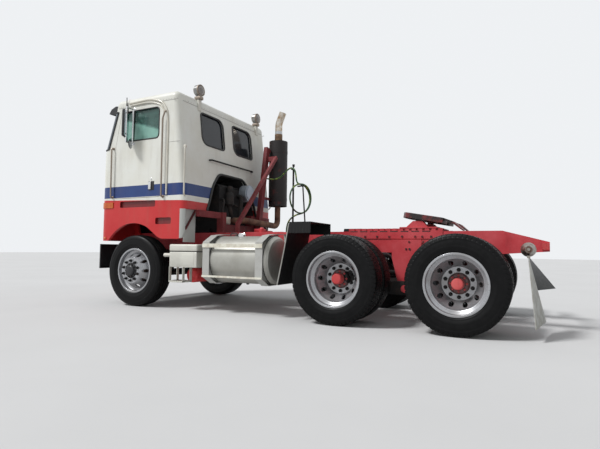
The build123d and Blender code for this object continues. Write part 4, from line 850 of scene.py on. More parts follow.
def stripSurface(line, radius, spec):
    # A rounded open profile turned once round, with as many steps as the cone's edge has.
    profile = roundedLine(line, radius, steps=3)
    count = spec["holes"] * spec["sideSteps"]
    turns = np.arange(count) * 2 * np.pi / count - np.pi / spec["holes"]
    points = np.stack([profile[:, 1, None] * np.cos(turns), profile[:, 0, None] + 0 * turns,
                       profile[:, 1, None] * np.sin(turns)], -1)
    return gridSurface(points, wrapV=True)


def rimSurface(spec, centre, side):
    # The wheel at the origin, faced towards side and moved to its axle.
    points, faces = joined(stripSurface(spec["barrel"], 0.006, spec), stripSurface(spec["face"], 0.004, spec),
                           coneSurface(spec))
    return points * (1, side, 1) + centre, faces


def nutRing(spec, faceY, side, centre):
    # A flanged nut with its stud's end, repeated round the bolt circle.
    high, radius = spec["nutHigh"], spec["nutRadius"]
    profile = [(0, 0), (0, 0.023), (0.005, 0.023), (0.006, radius), (high, radius * 0.93), (high, 0.0115),
               (high + 0.014, 0.0105), (high + 0.014, 0)]
    one = turnedForm(profile, centre + (spec["nutCircle"], side * faceY, 0), (0, side, 0), 6)
    return aroundAxle(one, centre, (np.arange(spec["nuts"]) + 0.5) * 2 * np.pi / spec["nuts"])


def headRing(row, side, centre):
    # Bolt heads round the axle, from a row of face y, circle, count, radius and height.
    faceY, circle, count, radius, height = row
    one = bolt(centre + (circle, side * faceY, 0), (0, side, 0), radius, height)
    return aroundAxle(one, centre, np.arange(count) * 2 * np.pi / count)


def turnedAbout(line, side, centre):
    # The line of a hub, drum or flange, with its corners eased, turned about the axle.
    return turnedForm(roundedLine(line, 0.004, steps=2), centre, (0, side, 0), 56)


def addWheel(kind, axle, word):
    side, centre = sides[word], np.array([wheelStations[axle], 0, axleZ])
    body, tyreNode, wheelNode = (name.format(axle=axle, word=word) for name in kind["names"])
    tyres = [tyreSurface(tyreSpec, kind["slotted"], centre + (0, side * y, 0)) for y, facing in kind["rims"]]
    makePiece(f"{tyreNode}_rubber", tyres, body, tyreBlack, [tyreNode], 40)
    if kind["flange"]:
        makePiece(f"{wheelNode}_flange", [turnedAbout(kind["flange"], side, centre)], body, hubGrey)
    rims = [rimSurface(wheelSpec, centre + (0, side * y, 0), side * facing) for y, facing in kind["rims"]]
    makePiece(f"{wheelNode}_rims", rims, body, wheelMetal, [wheelNode])
    nuts = nutRing(wheelSpec, kind["nutFace"], side, centre)
    makePiece(f"{wheelNode}_nuts", [nuts], body, iron)
    makePiece(f"{wheelNode}_studs", [headRing(kind["studs"], side, centre)], body, kind["studFinish"])
    cap = [turnedAbout(kind["hub"], side, centre), *[headRing(row, side, centre) for row in kind["hubBolts"]]]
    makePiece(f"{wheelNode}_cap", cap, body, kind["hubFinish"])
    makePiece(f"{wheelNode}_drum", [turnedAbout(kind["drum"], side, centre)], body, rustIron)


for axle in wheelStations:
    for word in sides:
        addWheel(wheelKinds["front" if axle == "front" else "drive"], axle, word)
print("wheels and tyres made")

# Cab trim on both sides: rails, drip mouldings, seams, corner rails and handles

cabSideY = 1.155
sideTrimSpec = {
    "rails": [[(4.945, cabSideY, 2.345), (4.935, cabSideY, 1.60)],
              [(3.895, cabSideY, 2.79), (3.940, cabSideY, 2.68), (3.930, cabSideY, 1.575)]],
    "railRadius": 0.0115, "railStandOff": 0.042, "railBend": 0.035,
    "foot": [(0, 0), (0, 0.022), (0.006, 0.022), (0.010, 0.0132), (0.010, 0)],
    "outerDrip": [(4.640, 1.160, 3.000), (4.207, 1.160, 3.012), (3.985, 1.162, 2.945), (3.880, 1.162, 2.800),
                  (3.866, 1.162, 2.60), (3.866, 1.162, 1.60)],
    "innerDrip": [(4.610, 1.160, 2.966), (4.231, 1.160, 2.972), (4.020, 1.162, 2.915), (3.940, 1.162, 2.80)],
    "cornerRail": [(3.560, 1.128, 2.250), (3.548, 1.160, 2.240), (3.548, 1.160, 1.60), (3.560, 1.128, 1.575)],
    "cornerKnob": [(0, 0), (0, 0.024), (0.010, 0.024), (0.020, 0.016), (0.024, 0)],
    "knobAt": (3.560, 1.140, 2.262),
    "roofSeam": [(4.860, 1.1555, 2.952), (3.700, 1.1555, 2.952)],
    "beltSeam": [(3.86, 1.1550, 2.346), (3.64, 1.1550, 2.346)],
    "firstRivet": (3.72, 1.1555, 2.968), "rivets": 24, "rivetStep": 0.05,
}


def bead(corners, radius, bend=0.03):
    # A half-round moulding that lies on the side panel.
    return pipe(corners, bend, radius, alongY, 8, 6)


def grabRail(spec, foot):
    # A tube whose two ends turn in to the panel, given its foot points on the panel.
    foot = np.array(foot)
    corners = np.vstack([foot[:1], foot + (0, spec["railStandOff"], 0), foot[-1:]])
    return pipe(corners, spec["railBend"], spec["railRadius"], alongX, steps=5)


def addSideTrim(spec):
    rails = [grabRail(spec, foot) for foot in spec["rails"]]
    feet = [turnedForm(spec["foot"], at, alongY, 16) for foot in spec["rails"] for at in (foot[0], foot[-1])]
    makePiece("side_grab_rails", bothSides(*rails, *feet), "cab", railMetal, ["grab_rails"])
    drips = bothSides(bead(spec["outerDrip"], 0.0135, 0.16), bead(spec["innerDrip"], 0.0115, 0.12))
    makePiece("drip_mouldings", drips, "cab", creamPaint)
    corner = bothSides(pipe(spec["cornerRail"], 0.02, 0.011, alongX),
                       turnedForm(spec["cornerKnob"], spec["knobAt"], (-0.3, 1, 0.1), 16))
    makePiece("corner_rails", corner, "cab", creamPaint)
    seams = bothSides(bead(spec["roofSeam"], 0.0035), bead(spec["beltSeam"], 0.0028))
    makePiece("side_seams", seams, "cab", greyPaint)
    steps = np.arange(spec["rivets"])[:, None] * (spec["rivetStep"], 0, 0)
    rivets = copied(bolt(spec["firstRivet"], alongY, 0.005, 0.003), steps)
    makePiece("side_rivets", bothSides(rivets), "cab", greyPaint)


doorSpec = {
    "window": [(4.042, 2.430), (4.712, 2.430), (4.700, 2.880), (4.042, 2.880)], "windowBend": 0.065,
    "divider": [(4.560, 1.144, 2.438), (4.540, 1.144, 2.872)],
    "handleAt": (4.160, 0, 1.742),
    "handle": ((-0.002, 1.156, -0.055), (0.045, 1.176, 0.055)),
    "recess": ((-0.055, 1.150, -0.065), (0.050, 1.159, 0.065)),
    "lockAt": (0.005, 1.155, 0.095),
    "lock": [(0, 0), (0, 0.013), (0.006, 0.013), (0.008, 0.009), (0.008, 0)],
}


def addDoorTrim(spec):
    at = np.array(spec["handleAt"])
    line = roundedLine([(s, cabSideY - 0.003, z) for s, z in spec["window"]], spec["windowBend"], closed=True, steps=6)
    gasket = carried(line, circleProfile(0.011, 8), alongY, closed=True)
    handle = roundedBlock(*(at + spec["handle"]), 0.008)
    recess = roundedBlock(*(at + spec["recess"]), 0.004)
    lock = turnedForm(spec["lock"], at + spec["lockAt"], alongY, 14)
    divider = bead(spec["divider"], 0.009)
    for word, side in sides.items():
        door = f"door_{word}"
        makePiece(f"door_gasket_{word}", onSide(side, gasket, divider), door, gasketBlack)
        makePiece(f"door_handle_{word}", onSide(side, handle, lock), door, chrome)
        makePiece(f"door_recess_{word}", onSide(side, recess), door, gasketBlack)


addSideTrim(sideTrimSpec)
addDoorTrim(doorSpec)
print("cab sides trimmed")

# Rear wall: window gaskets, grab bar, roof-edge seam

rearSpec = {
    "station": 3.54, "knee": 1.56, "rake": 0.118,
    "windowLows": (0.130, -0.675), "width": 0.545, "low": 2.405, "high": 2.885, "smallBend": 0.055, "largeBend": 0.120,
    "barZ": 2.18, "barEnds": (0.543, -0.592), "barStandOff": 0.045, "seamZ": 2.952, "rivetZ": 2.972,
}


def onRearWall(y, z, depth=0.0):
    # A point on the raked rear wall, depth metres behind it.
    y, z = np.broadcast_arrays(y, z)
    station = rearSpec["station"] + rearSpec["rake"] * np.maximum(z - rearSpec["knee"], 0) - depth
    return np.stack([station, y, z], -1)


def rearWindowLine(spec, lowY, steps=7):
    # Corners of two sizes: the large ones at the lower left and upper right of the opening, seen from behind.
    highY, small, large = lowY + spec["width"], spec["smallBend"], spec["largeBend"]
    # Columns: y, z, bend, the way inward along y and z, where the quarter turn starts
    corners = [(lowY, spec["low"], small, 1, 1, 180), (highY, spec["low"], large, -1, 1, 270),
               (highY, spec["high"], small, -1, -1, 0), (lowY, spec["high"], large, 1, -1, 90)]
    parts = []
    for y, z, bend, toY, toZ, start in corners:
        turn = np.radians(np.linspace(start, start + 90, steps))
        parts.append(np.stack([y + bend * (toY + np.cos(turn)), z + bend * (toZ + np.sin(turn))], -1))
    return np.vstack(parts)


def addRearTrim(spec):
    gaskets = []
    for lowY in spec["windowLows"]:
        y, z = rearWindowLine(spec, lowY).T
        gaskets.append(carried(onRearWall(y, z, 0.002), slabProfile(0.026, 0.016, 0.005), alongX, closed=True))
    makePiece("rear_gaskets", gaskets, "cab", gasketBlack)
    left, right = spec["barEnds"]
    bar = onRearWall(np.array([left, left, right, right]), spec["barZ"], np.array([0, 1, 1, 0]) * spec["barStandOff"])
    makePiece("rear_grab_bar", [pipe(bar, 0.03, 0.0125, steps=5)], "cab", iron)
    seam = tube(onRearWall(np.linspace(1.05, -1.05, 30), spec["seamZ"], 0.001), 0.0035)
    rivets = [bolt(at, (-1, 0, 0), 0.005, 0.003) for at in onRearWall(np.linspace(1.0, -1.0, 34), spec["rivetZ"])]
    makePiece("rear_seam", [seam, *rivets], "cab", greyPaint)


addRearTrim(rearSpec)
print("rear wall trimmed")

# Mirrors: a chrome tube frame on the door, a black head and a round mirror, both turned in towards the seat

mirrorSpec = {
    "station": 4.538, "y": 1.302, "innerY": 1.177, "tubeEnds": (2.385, 2.895), "tube": 0.0115, "past": 0.012,
    "turn": 31, "headAt": (4.568, 1.302, 2.655), "head": (0.040, 0.172, 0.400), "shell": 0.018, "edge": 0.024,
    "roundAt": (4.506, 1.252, 2.366), "roundRadius": 0.074,
    "foot": [(0, 0), (0, 0.026), (0.006, 0.026), (0.012, 0.016), (0.012, 0)],
    "clamp": (0.040, 0.040, 0.026), "clampZ": (2.50, 2.81),
}


def addMirrors(spec):
    head, disc = np.array(spec["headAt"]), np.array(spec["roundAt"])
    deep, wide, high = spec["head"]
    s, y, r, turn, ends = spec["station"], spec["y"], spec["roundRadius"], spec["turn"], spec["tubeEnds"]
    low, top = ends[0] - spec["past"], ends[1] + spec["past"]
    shell = turnedUp(slab(head, spec["head"], spec["shell"]), head, turn)
    pane = (0.004, wide - spec["edge"], high - spec["edge"])
    glass = turnedUp(slab(head - (deep / 2, 0, 0), pane, 0.0018), head, turn)
    back = [(-0.013, 0.0), (-0.013, r), (-0.004, r), (0.010, r * 0.72), (0.016, 0.0)]
    dome = [(-0.013, r - 0.004), (-0.017, r * 0.6), (-0.019, 0.0)]
    back, dome = (turnedUp(turnedForm(line, disc, alongX, 40), disc, turn) for line in (back, dome))
    arms = [tube([(s, cabSideY - 0.002, z), (s, y, z)], spec["tube"], alongZ, 14) for z in ends]
    posts = [tube([(s, at, low), (s, at, top)], spec["tube"], alongX, 14) for at in (y, spec["innerY"])]
    feet = [turnedForm(spec["foot"], (s, cabSideY, z), alongY, 18) for z in ends]
    clamps = [slab((s + 0.012, y, z), spec["clamp"], 0.006) for z in spec["clampZ"]]
    for word, side in sides.items():
        door, node = f"door_{word}", [f"mirror_{word}"]
        makePiece(f"mirror_frame_{word}", onSide(side, *arms, *posts, *feet), door, chrome, node)
        makePiece(f"mirror_head_{word}", onSide(side, shell, back, *clamps), door, blackPaint)
        makePiece(f"mirror_glass_{word}", onSide(side, glass, dome), door, mirrorGlass)


addMirrors(mirrorSpec)

# Steering wheel: a round rim, three spokes and a domed hub on a sloping column

steerSpec = {
    "centre": (4.610, 0.800, 2.165), "foot": (4.955, 0.800, 1.440), "rim": 0.228, "bar": 0.0145,
    "spokes": (90, 210, 330), "spokeReach": [0.03, 0.12, 0.222], "spokeSink": [0.012, 0.014, 0.0],
    "hub": [(-0.018, 0), (-0.016, 0.030), (-0.006, 0.050), (0.015, 0.055), (0.015, 0)],
    "column": [(0.012, 0.0), (0.012, 0.040), (0.22, 0.034), (0.24, 0.026)], "columnRadius": 0.026,
}


def addSteering(spec):
    centre, foot = np.array(spec["centre"]), np.array(spec["foot"])
    run = np.linalg.norm(foot - centre)
    down, across = (foot - centre) / run, np.array(alongY)
    ahead = np.cross(down, across)
    turn = np.arange(64) * 2 * np.pi / 64
    rim = centre + spec["rim"] * (np.cos(turn)[:, None] * across + np.sin(turn)[:, None] * ahead)
    forms = [carried(rim, circleProfile(spec["bar"], 12), down, closed=True)]
    reach, sink = np.array(spec["spokeReach"])[:, None], np.array(spec["spokeSink"])[:, None]
    for degrees in spec["spokes"]:
        way = np.cos(np.radians(degrees)) * across + np.sin(np.radians(degrees)) * ahead
        forms.append(carried(centre + reach * way + sink * down, slabProfile(0.026, 0.010, 0.004), down))
    forms.append(turnedForm(spec["hub"], centre, down, 32))
    forms.append(turnedForm([*spec["column"], (run, spec["columnRadius"]), (run, 0)], centre, down, 24))
    makePiece("steering_rim", forms, "cab", rimPlastic, ["steering_wheel"])


addSteering(steerSpec)

# Seats: puffed cushion and back with stitched channels, on a pedestal

seatSpec = {
    "station": 4.245, "y": 0.790, "wide": 0.470, "channels": 5,
    "cushion": (4.005, 4.490, 1.795, 1.935),  # rear and front stations, low and high z
    "backFoot": (4.060, 0.790, 1.900), "backHead": (3.985, 0.790, 2.600), "backThick": 0.125,
    # Columns: z of the middle, size, edge radius
    "pedestal": [(1.460, (0.38, 0.36, 0.04), 0.01), (1.620, (0.26, 0.24, 0.30), 0.03),
                 (1.787, (0.42, 0.42, 0.03), 0.01)],
}


def puffed(centre, along, across, out, size, channels):
    # A pad: a superellipse over along and across, thickened along out by a dome that dips at each channel's seam.
    u = np.linspace(-1, 1, 57)[:, None]
    v = np.linspace(-1, 1, 33)[None, :]
    roundU, roundV = (1 - np.abs(u) ** 5) ** 0.4, (1 - np.abs(v) ** 5) ** 0.4
    seam = 1 - 0.16 * np.exp(-(np.sin(np.pi * channels * (v + 1) / 2) / 0.22) ** 2) * (np.abs(v) < 0.97)
    thick = (roundU * roundV) ** 0.6 * seam * (0.86 + 0.14 * (1 - u ** 2) * (1 - v ** 2))
    base = centre + size[0] / 2 * u[..., None] * along + size[1] / 2 * v[..., None] * across
    top = base + size[2] / 2 * thick[..., None] * out
    under = base - size[2] / 2 * ((roundU * roundV) ** 0.6)[..., None] * out
    return joined(gridSurface(top), gridSurface(under[::-1]))


def addSeats(spec):
    forward, left, up = np.eye(3)
    rear, front, low, high = spec["cushion"]
    middle = ((rear + front) / 2, spec["y"], (low + high) / 2)
    cushion = puffed(middle, forward, left, up, (front - rear, spec["wide"], high - low), spec["channels"])
    foot, head = np.array(spec["backFoot"]), np.array(spec["backHead"])
    tall = np.linalg.norm(head - foot)
    rise = (head - foot) / tall
    size = (tall, spec["wide"], spec["backThick"])
    back = puffed((foot + head) / 2, rise, left, np.cross(left, rise), size, spec["channels"])
    pads = makePiece("seat_pads", bothSides(cushion, back), "cab", seatVinyl, ["seats"], 50)
    pedestal = [slab((spec["station"], spec["y"], z), size, radius) for z, size, radius in spec["pedestal"]]
    makePiece("seat_pedestals", bothSides(*pedestal), "cab", dashPlastic)


addSeats(seatSpec)
print("mirrors, seats and steering wheel made")

# Windscreen: gaskets, the glass that wraps the corners, wipers

screenSpec = {
    "noseTop": (5.210, 2.290), "top": (4.990, 2.960), "inner": 0.022, "outer": 0.985, "low": 2.345, "high": 2.895,
    "inset": 0.004, "bend": 0.05, "wrapY": 1.005, "wrapRadius": 0.1535, "wrapBack": 0.150, "wrapProud": 0.0035,
    "wiperY": (0.62, -0.42),
    # Columns: y from the wiper's foot, z, proud of the screen
    "wiperArm": [(0, 2.315, 0.035), (-0.20, 2.46, 0.040), (-0.26, 2.62, 0.026)],
    "wiperBlade": [(-0.17, 2.40, 0.018), (-0.33, 2.82, 0.018)],
    "wiperFoot": [(0, 0), (0, 0.022), (0.03, 0.018), (0.034, 0)],
}


def onScreen(spec, y, z, proud=0.0):
    # A point of the raked windscreen, proud metres in front of it.
    (s0, z0), (s1, z1) = spec["noseTop"], spec["top"]
    y, z = np.broadcast_arrays(np.asarray(y, float), np.asarray(z, float))
    return np.stack([s0 + (z - z0) * (s1 - s0) / (z1 - z0) + proud, y, z], -1)


def addScreenTrim(spec):
    i = spec["inset"]
    corners = [(y, z) for y, z in ((spec["inner"] + i, spec["low"] + i), (spec["outer"] - i, spec["low"] + i),
                                   (spec["outer"] - i, spec["high"] - i), (spec["inner"] + i, spec["high"] - i))]
    y, z = roundedLine(corners, spec["bend"], closed=True, steps=6).T
    gasket = carried(onScreen(spec, y, z, 0.002), slabProfile(0.030, 0.014, 0.005), (1, 0, 0.3), closed=True)
    makePiece("screen_gaskets", bothSides(gasket), "cab", gasketBlack)
    # The wrapped glass follows a quarter circle from the screen's outer edge round to the side
    z = np.linspace(spec["low"] - i, spec["high"] + i, 12)[:, None]
    turn = np.radians(np.linspace(0, 90, 13))
    arc = np.hstack([[spec["outer"]], spec["wrapY"] + spec["wrapRadius"] * np.sin(turn)])[None, :]
    back = np.hstack([[spec["wrapProud"]], spec["wrapRadius"] * np.cos(turn) - spec["wrapBack"]])[None, :]
    wrap = gridSurface(onScreen(spec, arc + 0 * z, z + 0 * arc, back + 0 * z))
    makePiece("screen_corners", bothSides(wrap), "cab", wrapGlass)
    lowEdge, highEdge = (np.stack([arc[0], 0 * arc[0] + z[row, 0], back[0] + 0.002], -1) for row in (0, -1))
    rim = tube(onScreen(spec, *np.vstack([lowEdge, highEdge[::-1]]).T), 0.010, (0.3, 0.2, 1))
    makePiece("screen_corner_rims", bothSides(rim), "cab", gasketBlack)
    wipers = []
    for foot in spec["wiperY"]:
        arm, blade = ([onScreen(spec, foot + y, z, proud) for y, z, proud in spec[line]]
                      for line in ("wiperArm", "wiperBlade"))
        wipers += [tube(arm, 0.006), carried(blade, slabProfile(0.012, 0.020, 0.004), (1, 0, 0.3)),
                   turnedForm(spec["wiperFoot"], onScreen(spec, foot, 2.312), (1, 0, 0.2), 16)]
    makePiece("wipers", wipers, "cab", gasketBlack)


addScreenTrim(screenSpec)

# Grille mesh and the lamps of the front, the rear of the roof and the roof's front edge

grilleSpec = {"station": 5.150, "half": 0.486, "low": 1.035, "high": 1.772, "rowStep": 0.016, "columnStep": 0.0324,
              "wire": 0.005, "wireDeep": 0.006, "backGap": 0.012, "backThick": 0.010}


def addGrille(spec):
    s, half, deep, wire = spec["station"], spec["half"], spec["wireDeep"], spec["wire"]
    middle, high = (spec["low"] + spec["high"]) / 2, spec["high"] - spec["low"]
    rowZ = np.arange(spec["low"], spec["high"], spec["rowStep"])
    columnY = np.arange(-half, half + 0.01, spec["columnStep"])
    rows = [slab((s, 0, z), (deep, 2 * half, wire), 0.002) for z in rowZ]
    columns = [slab((s, y, middle), (deep, wire, high), 0.002) for y in columnY]
    back = slab((s - spec["backGap"], 0, middle), (spec["backThick"], 2 * half, high), 0.003)
    makePiece("grille_mesh", [*rows, *columns, back], "cab", gasketBlack)


addGrille(grilleSpec)

# Lines of a turned form are (distance along its axis, radius)
lampSpec = {
    "headAt": (5.248, 0.760, 1.210), "headApart": 0.184,
    "headLens": [(0.0005, 0.074), (0.008, 0.060), (0.013, 0.034), (0.015, 0.0)],
    "headBezel": [(0.0, 0.084), (0.006, 0.084), (0.008, 0.078), (0.002, 0.074), (0.0, 0.074)],
    "workAt": [(3.6752, 0.700, 3.207), (3.6752, -0.880, 3.207)],
    "workLens": [(0.0005, 0.074), (0.010, 0.058), (0.016, 0.032), (0.018, 0.0)],
    "workBezel": [(-0.012, 0.0885), (0.004, 0.0885), (0.007, 0.082), (0.002, 0.075), (-0.012, 0.075)],
    "workShell": [(0.070, 0.086), (0.085, 0.074), (0.100, 0.048), (0.106, 0.0)],
    "workFoot": (0.110, 0.090, 0.050),
    "bulletAt": (4.811, 3.0895), "bulletY": (-0.98, -0.48, 0.0, 0.48, 0.98),
    "bullet": [(0, 0), (0.004, 0.012), (0.030, 0.021), (0.075, 0.026), (0.090, 0.022), (0.098, 0.012), (0.100, 0)],
    "bulletFoot": (0.110, 0.052, 0.014),
    "sideMarker": ((5.046, 1.150, 0.975), (5.096, 1.166, 1.005)),
}
antennaSpec = {
    "whip": [(4.684, 1.170, 2.900), (4.684, 1.172, 2.990), (4.686, 1.172, 3.096)], "whipRadius": 0.006,
    "clipAt": (4.684, 1.163, 2.905), "clip": (0.030, 0.022, 0.060),
    "springAt": (4.684, 1.170, 2.930), "spring": [(0, 0), (0, 0.012), (0.09, 0.008), (0.09, 0)],
}


def addLamps(spec, antenna):
    station, middleY, z = spec["headAt"]
    heads = [(station, middleY + way * spec["headApart"] / 2, z) for way in (-1, 1)]
    lenses, bezels = ([turnedForm(spec[line], at, alongX, 40) for at in heads] for line in ("headLens", "headBezel"))
    makePiece("head_lamp_lenses", bothSides(*lenses), "cab", clearLens)
    makePiece("head_lamp_bezels", bothSides(*bezels), "cab", chrome)
    works = np.array(spec["workAt"])
    glass = [turnedForm(spec["workLens"], at, (-1, 0, 0), 40) for at in works]
    makePiece("work_lamp_glass", glass, "cab", workLens)
    rims = []
    for at in works:
        rims += [turnedForm(spec["workBezel"], at, (-1, 0, 0), 40), turnedForm(spec["workShell"], at, alongX, 40),
                 slab(at + (0.035, 0, -0.115), spec["workFoot"], 0.012)]
    makePiece("work_lamp_rims", rims, "cab", railMetal)
    s, z = spec["bulletAt"]
    bullets = [turnedForm(spec["bullet"], (s - 0.055, y, z + 0.026), alongX, 20) for y in spec["bulletY"]]
    makePiece("roof_lamps", bullets, "cab", amberLens)
    feet = [slab((s - 0.015, y, z + 0.004), spec["bulletFoot"], 0.005) for y in spec["bulletY"]]
    makePiece("roof_lamp_feet", feet, "cab", creamPaint)
    whip = [tube(antenna["whip"], antenna["whipRadius"], alongX, 8), slab(antenna["clipAt"], antenna["clip"], 0.005),
            turnedForm(antenna["spring"], antenna["springAt"], alongZ, 14)]
    makePiece("antenna", whip, "cab", iron)
    makePiece("side_markers", bothSides(roundedBlock(*spec["sideMarker"], 0.005)), "cab", amberLens)


addLamps(lampSpec, antennaSpec)
print("front and roof trimmed")

# Tunnel mouth: a rubber edge, and what shows inside: pipes, a pale box, hoses and the engine's covers

tunnelSpec = {
    "mouth": [(0.668, 1.402), (0.600, 1.580), (0.500, 1.800), (0.330, 1.998), (-0.330, 1.998), (-0.500, 1.800),
              (-0.600, 1.580), (-0.668, 1.402)],
    "filterAt": (3.500, 0.170, 1.520),
    "filter": [(0, 0), (0, 0.055), (0.02, 0.070), (0.16, 0.070), (0.20, 0.050), (0.22, 0.030), (0.22, 0)],
    "knobAt": (3.500, 0.165, 1.735),
    "knob": [(0, 0), (0, 0.040), (0.05, 0.052), (0.09, 0.040), (0.10, 0)],
    # Columns: radius, bend, points round, line
    "pipes": [
        (0.032, 0.10, 16, [(3.560, -0.120, 1.70), (3.470, -0.120, 1.69), (3.470, -0.060, 1.30), (3.470, 0.050, 1.18)]),
        (0.018, 0.08, 12, [(3.560, 0.320, 1.62), (3.480, 0.330, 1.60), (3.470, 0.400, 1.30), (3.480, 0.380, 1.12)]),
        (0.014, 0.08, 12, [(3.555, 0.020, 1.56), (3.500, 0.020, 1.54), (3.490, -0.180, 1.48), (3.500, -0.240, 1.25)]),
        (0.030, 0.05, 14, [(3.500, 0.170, 1.52), (3.480, 0.150, 1.40), (3.500, 0.110, 1.33)]),
    ],
    "boxAt": (3.470, 0.300, 1.285), "box": (0.090, 0.150, 0.100),
    "postAt": (3.475, 0.285, 1.165), "post": (0.080, 0.120, 0.140),
    "covers": [((3.62, -0.30, 1.795), (4.86, -0.02, 1.855)), ((3.62, 0.02, 1.795), (4.86, 0.30, 1.855))],
    "coverBoltY": (-0.28, -0.04, 0.04, 0.28),
    "manifold": [(3.70, 0.365, 1.62), (3.80, 0.405, 1.64), (4.70, 0.405, 1.64), (4.80, 0.365, 1.60)],
    "port": (0.10, 0.030, 0.16), "portY": 0.372, "portZ": 1.44,
    "brace": [(3.560, 0.900, 1.385), (3.560, 1.098, 1.110)],
}
deckSpec = {
    "ribs": np.arange(2.44, 2.98, 0.045), "ribZ": 1.0965, "rib": (0.012, 0.80, 0.004),
    "valves": [((2.92, 0.18, 1.125), (0.12, 0.16, 0.055), 0.012), ((2.90, -0.05, 1.115), (0.08, 0.10, 0.035), 0.010)],
    "plugAt": (2.80, 0.33, 1.096), "plug": [(0, 0), (0, 0.035), (0.05, 0.035), (0.07, 0.020), (0.07, 0)],
}


def addTunnel(spec):
    y, z = roundedLine(spec["mouth"], 0.09, steps=6).T
    makePiece("tunnel_seal", [tube(onRearWall(y, z, 0.002), 0.021, alongX, 12)], "cab", gasketBlack)
    inner = [turnedForm(spec["filter"], spec["filterAt"], alongZ, 28),
             turnedForm(spec["knob"], spec["knobAt"], alongZ, 24)]
    inner += [pipe(line, bend, radius, alongX, count, 6) for radius, bend, count, line in spec["pipes"]]
    makePiece("engine_fittings", inner, "chassis", axleIron)
    makePiece("tunnel_box", [slab(spec["boxAt"], spec["box"], 0.008)], "chassis", creamPaint)
    makePiece("tunnel_post", [slab(spec["postAt"], spec["post"], 0.010)], "chassis", greyPaint)
    cover = [roundedBlock(low, high, 0.025) for low, high in spec["covers"]]
    cover += [bolt((s, y, 1.853), alongZ, 0.014, 0.012) for s in np.linspace(3.68, 4.80, 7) for y in spec["coverBoltY"]]
    cover += [pipe(np.array(spec["manifold"]) * (1, side, 1), 0.06, 0.045, alongZ, 16) for side in sides.values()]
    cover += [slab((s, side * spec["portY"], spec["portZ"]), spec["port"], 0.012)
              for s in np.linspace(3.80, 4.70, 6) for side in sides.values()]
    makePiece("engine_covers", cover, "chassis", iron)
    brace = carried(spec["brace"], slabProfile(0.012, 0.040, 0.003), alongX)
    makePiece("splash_braces", bothSides(brace), "cab", braceShadedRed)


def addDeckTrim(spec):
    ribs = [slab((s, 0, spec["ribZ"]), spec["rib"], 0.0015) for s in spec["ribs"]]
    makePiece("deck_ribs", ribs, "chassis", frameRed)
    valves = [slab(*row) for row in spec["valves"]] + [turnedForm(spec["plug"], spec["plugAt"], alongZ, 20)]
    makePiece("deck_valves", valves, "chassis", frameRed)


addTunnel(tunnelSpec)
addDeckTrim(deckSpec)

# Fuel tanks: bands with their rubber liners, weld seams, caps, handles and drains

tankSpec = {
    "rear": 2.200, "front": 3.160, "y": 0.850, "z": 0.708, "radius": 0.313, "seamIn": 0.070,
    "bands": (2.262, 3.078), "bandWide": 0.106, "liner": 0.005,
    "filler": (2.753, 0.900), "grip": (0.100, 0.020, 0.016), "handle": (2.860, 0.850), "handleLong": 0.110,
    "cap": [(0, 0.047), (0.024, 0.047), (0.026, 0.056), (0.050, 0.056), (0.056, 0.050), (0.056, 0)],
    "drainStation": 2.68, "drain": [(0, 0), (0, 0.020), (0.016, 0.020), (0.020, 0.012), (0.020, 0)],
}


def tankRing(spec, low, high, proud, slope=0.0):
    # A ring round the tank between two distances from its rear end, proud of its skin.
    r = spec["radius"]
    profile = [(low, r - 0.002), (low + slope, r + proud), (high - slope, r + proud), (high, r - 0.002)]
    return turnedForm(profile, (spec["rear"], spec["y"], spec["z"]), alongX, 96)


def addTankTrim(spec):
    edges = [(rear + 0.004 - spec["rear"], rear + spec["bandWide"] - 0.004 - spec["rear"]) for rear in spec["bands"]]
    wide = spec["liner"]
    liners = [tankRing(spec, at, at + wide, 0.0035) for low, high in edges for at in (low - wide, high)]
    makePiece("tank_liners", bothSides(*liners), "chassis", gasketBlack)
    bands = [tankRing(spec, low, high, 0.006) for low, high in edges]
    makePiece("tank_bands", bothSides(*bands), "chassis", sheetMetal)
    ends = (spec["seamIn"], spec["front"] - spec["rear"] - spec["seamIn"])
    seams = [tankRing(spec, at - 0.006, at + 0.006, 0.002, 0.003) for at in ends]
    makePiece("tank_seams", bothSides(*seams), "chassis", tankMetal)
    top = spec["z"] + spec["radius"]
    cap = bothSides(turnedForm(spec["cap"], (*spec["filler"], top - 0.03), alongZ, 40),
                    slab((*spec["filler"], top + 0.033), spec["grip"], 0.006))
    makePiece("tank_caps", cap, "chassis", chrome)
    s, y = spec["handle"]
    line = [(s + run, y, top + rise) for run, rise in ((0, -0.004), (0, 0.040), (spec["handleLong"], 0.040),
                                                       (spec["handleLong"], -0.004))]
    handle = pipe(line, 0.03, 0.007, alongY)
    drainAt = (spec["drainStation"], spec["y"], spec["z"] - spec["radius"] + 0.004)
    drain = turnedForm(spec["drain"], drainAt, (0, 0, -1), 6)
    makePiece("tank_handles", bothSides(handle, drain), "chassis", blackPaint)


addTankTrim(tankSpec)

# Battery boxes with their hung steps, and the edges and rubber lips of the quarter fenders

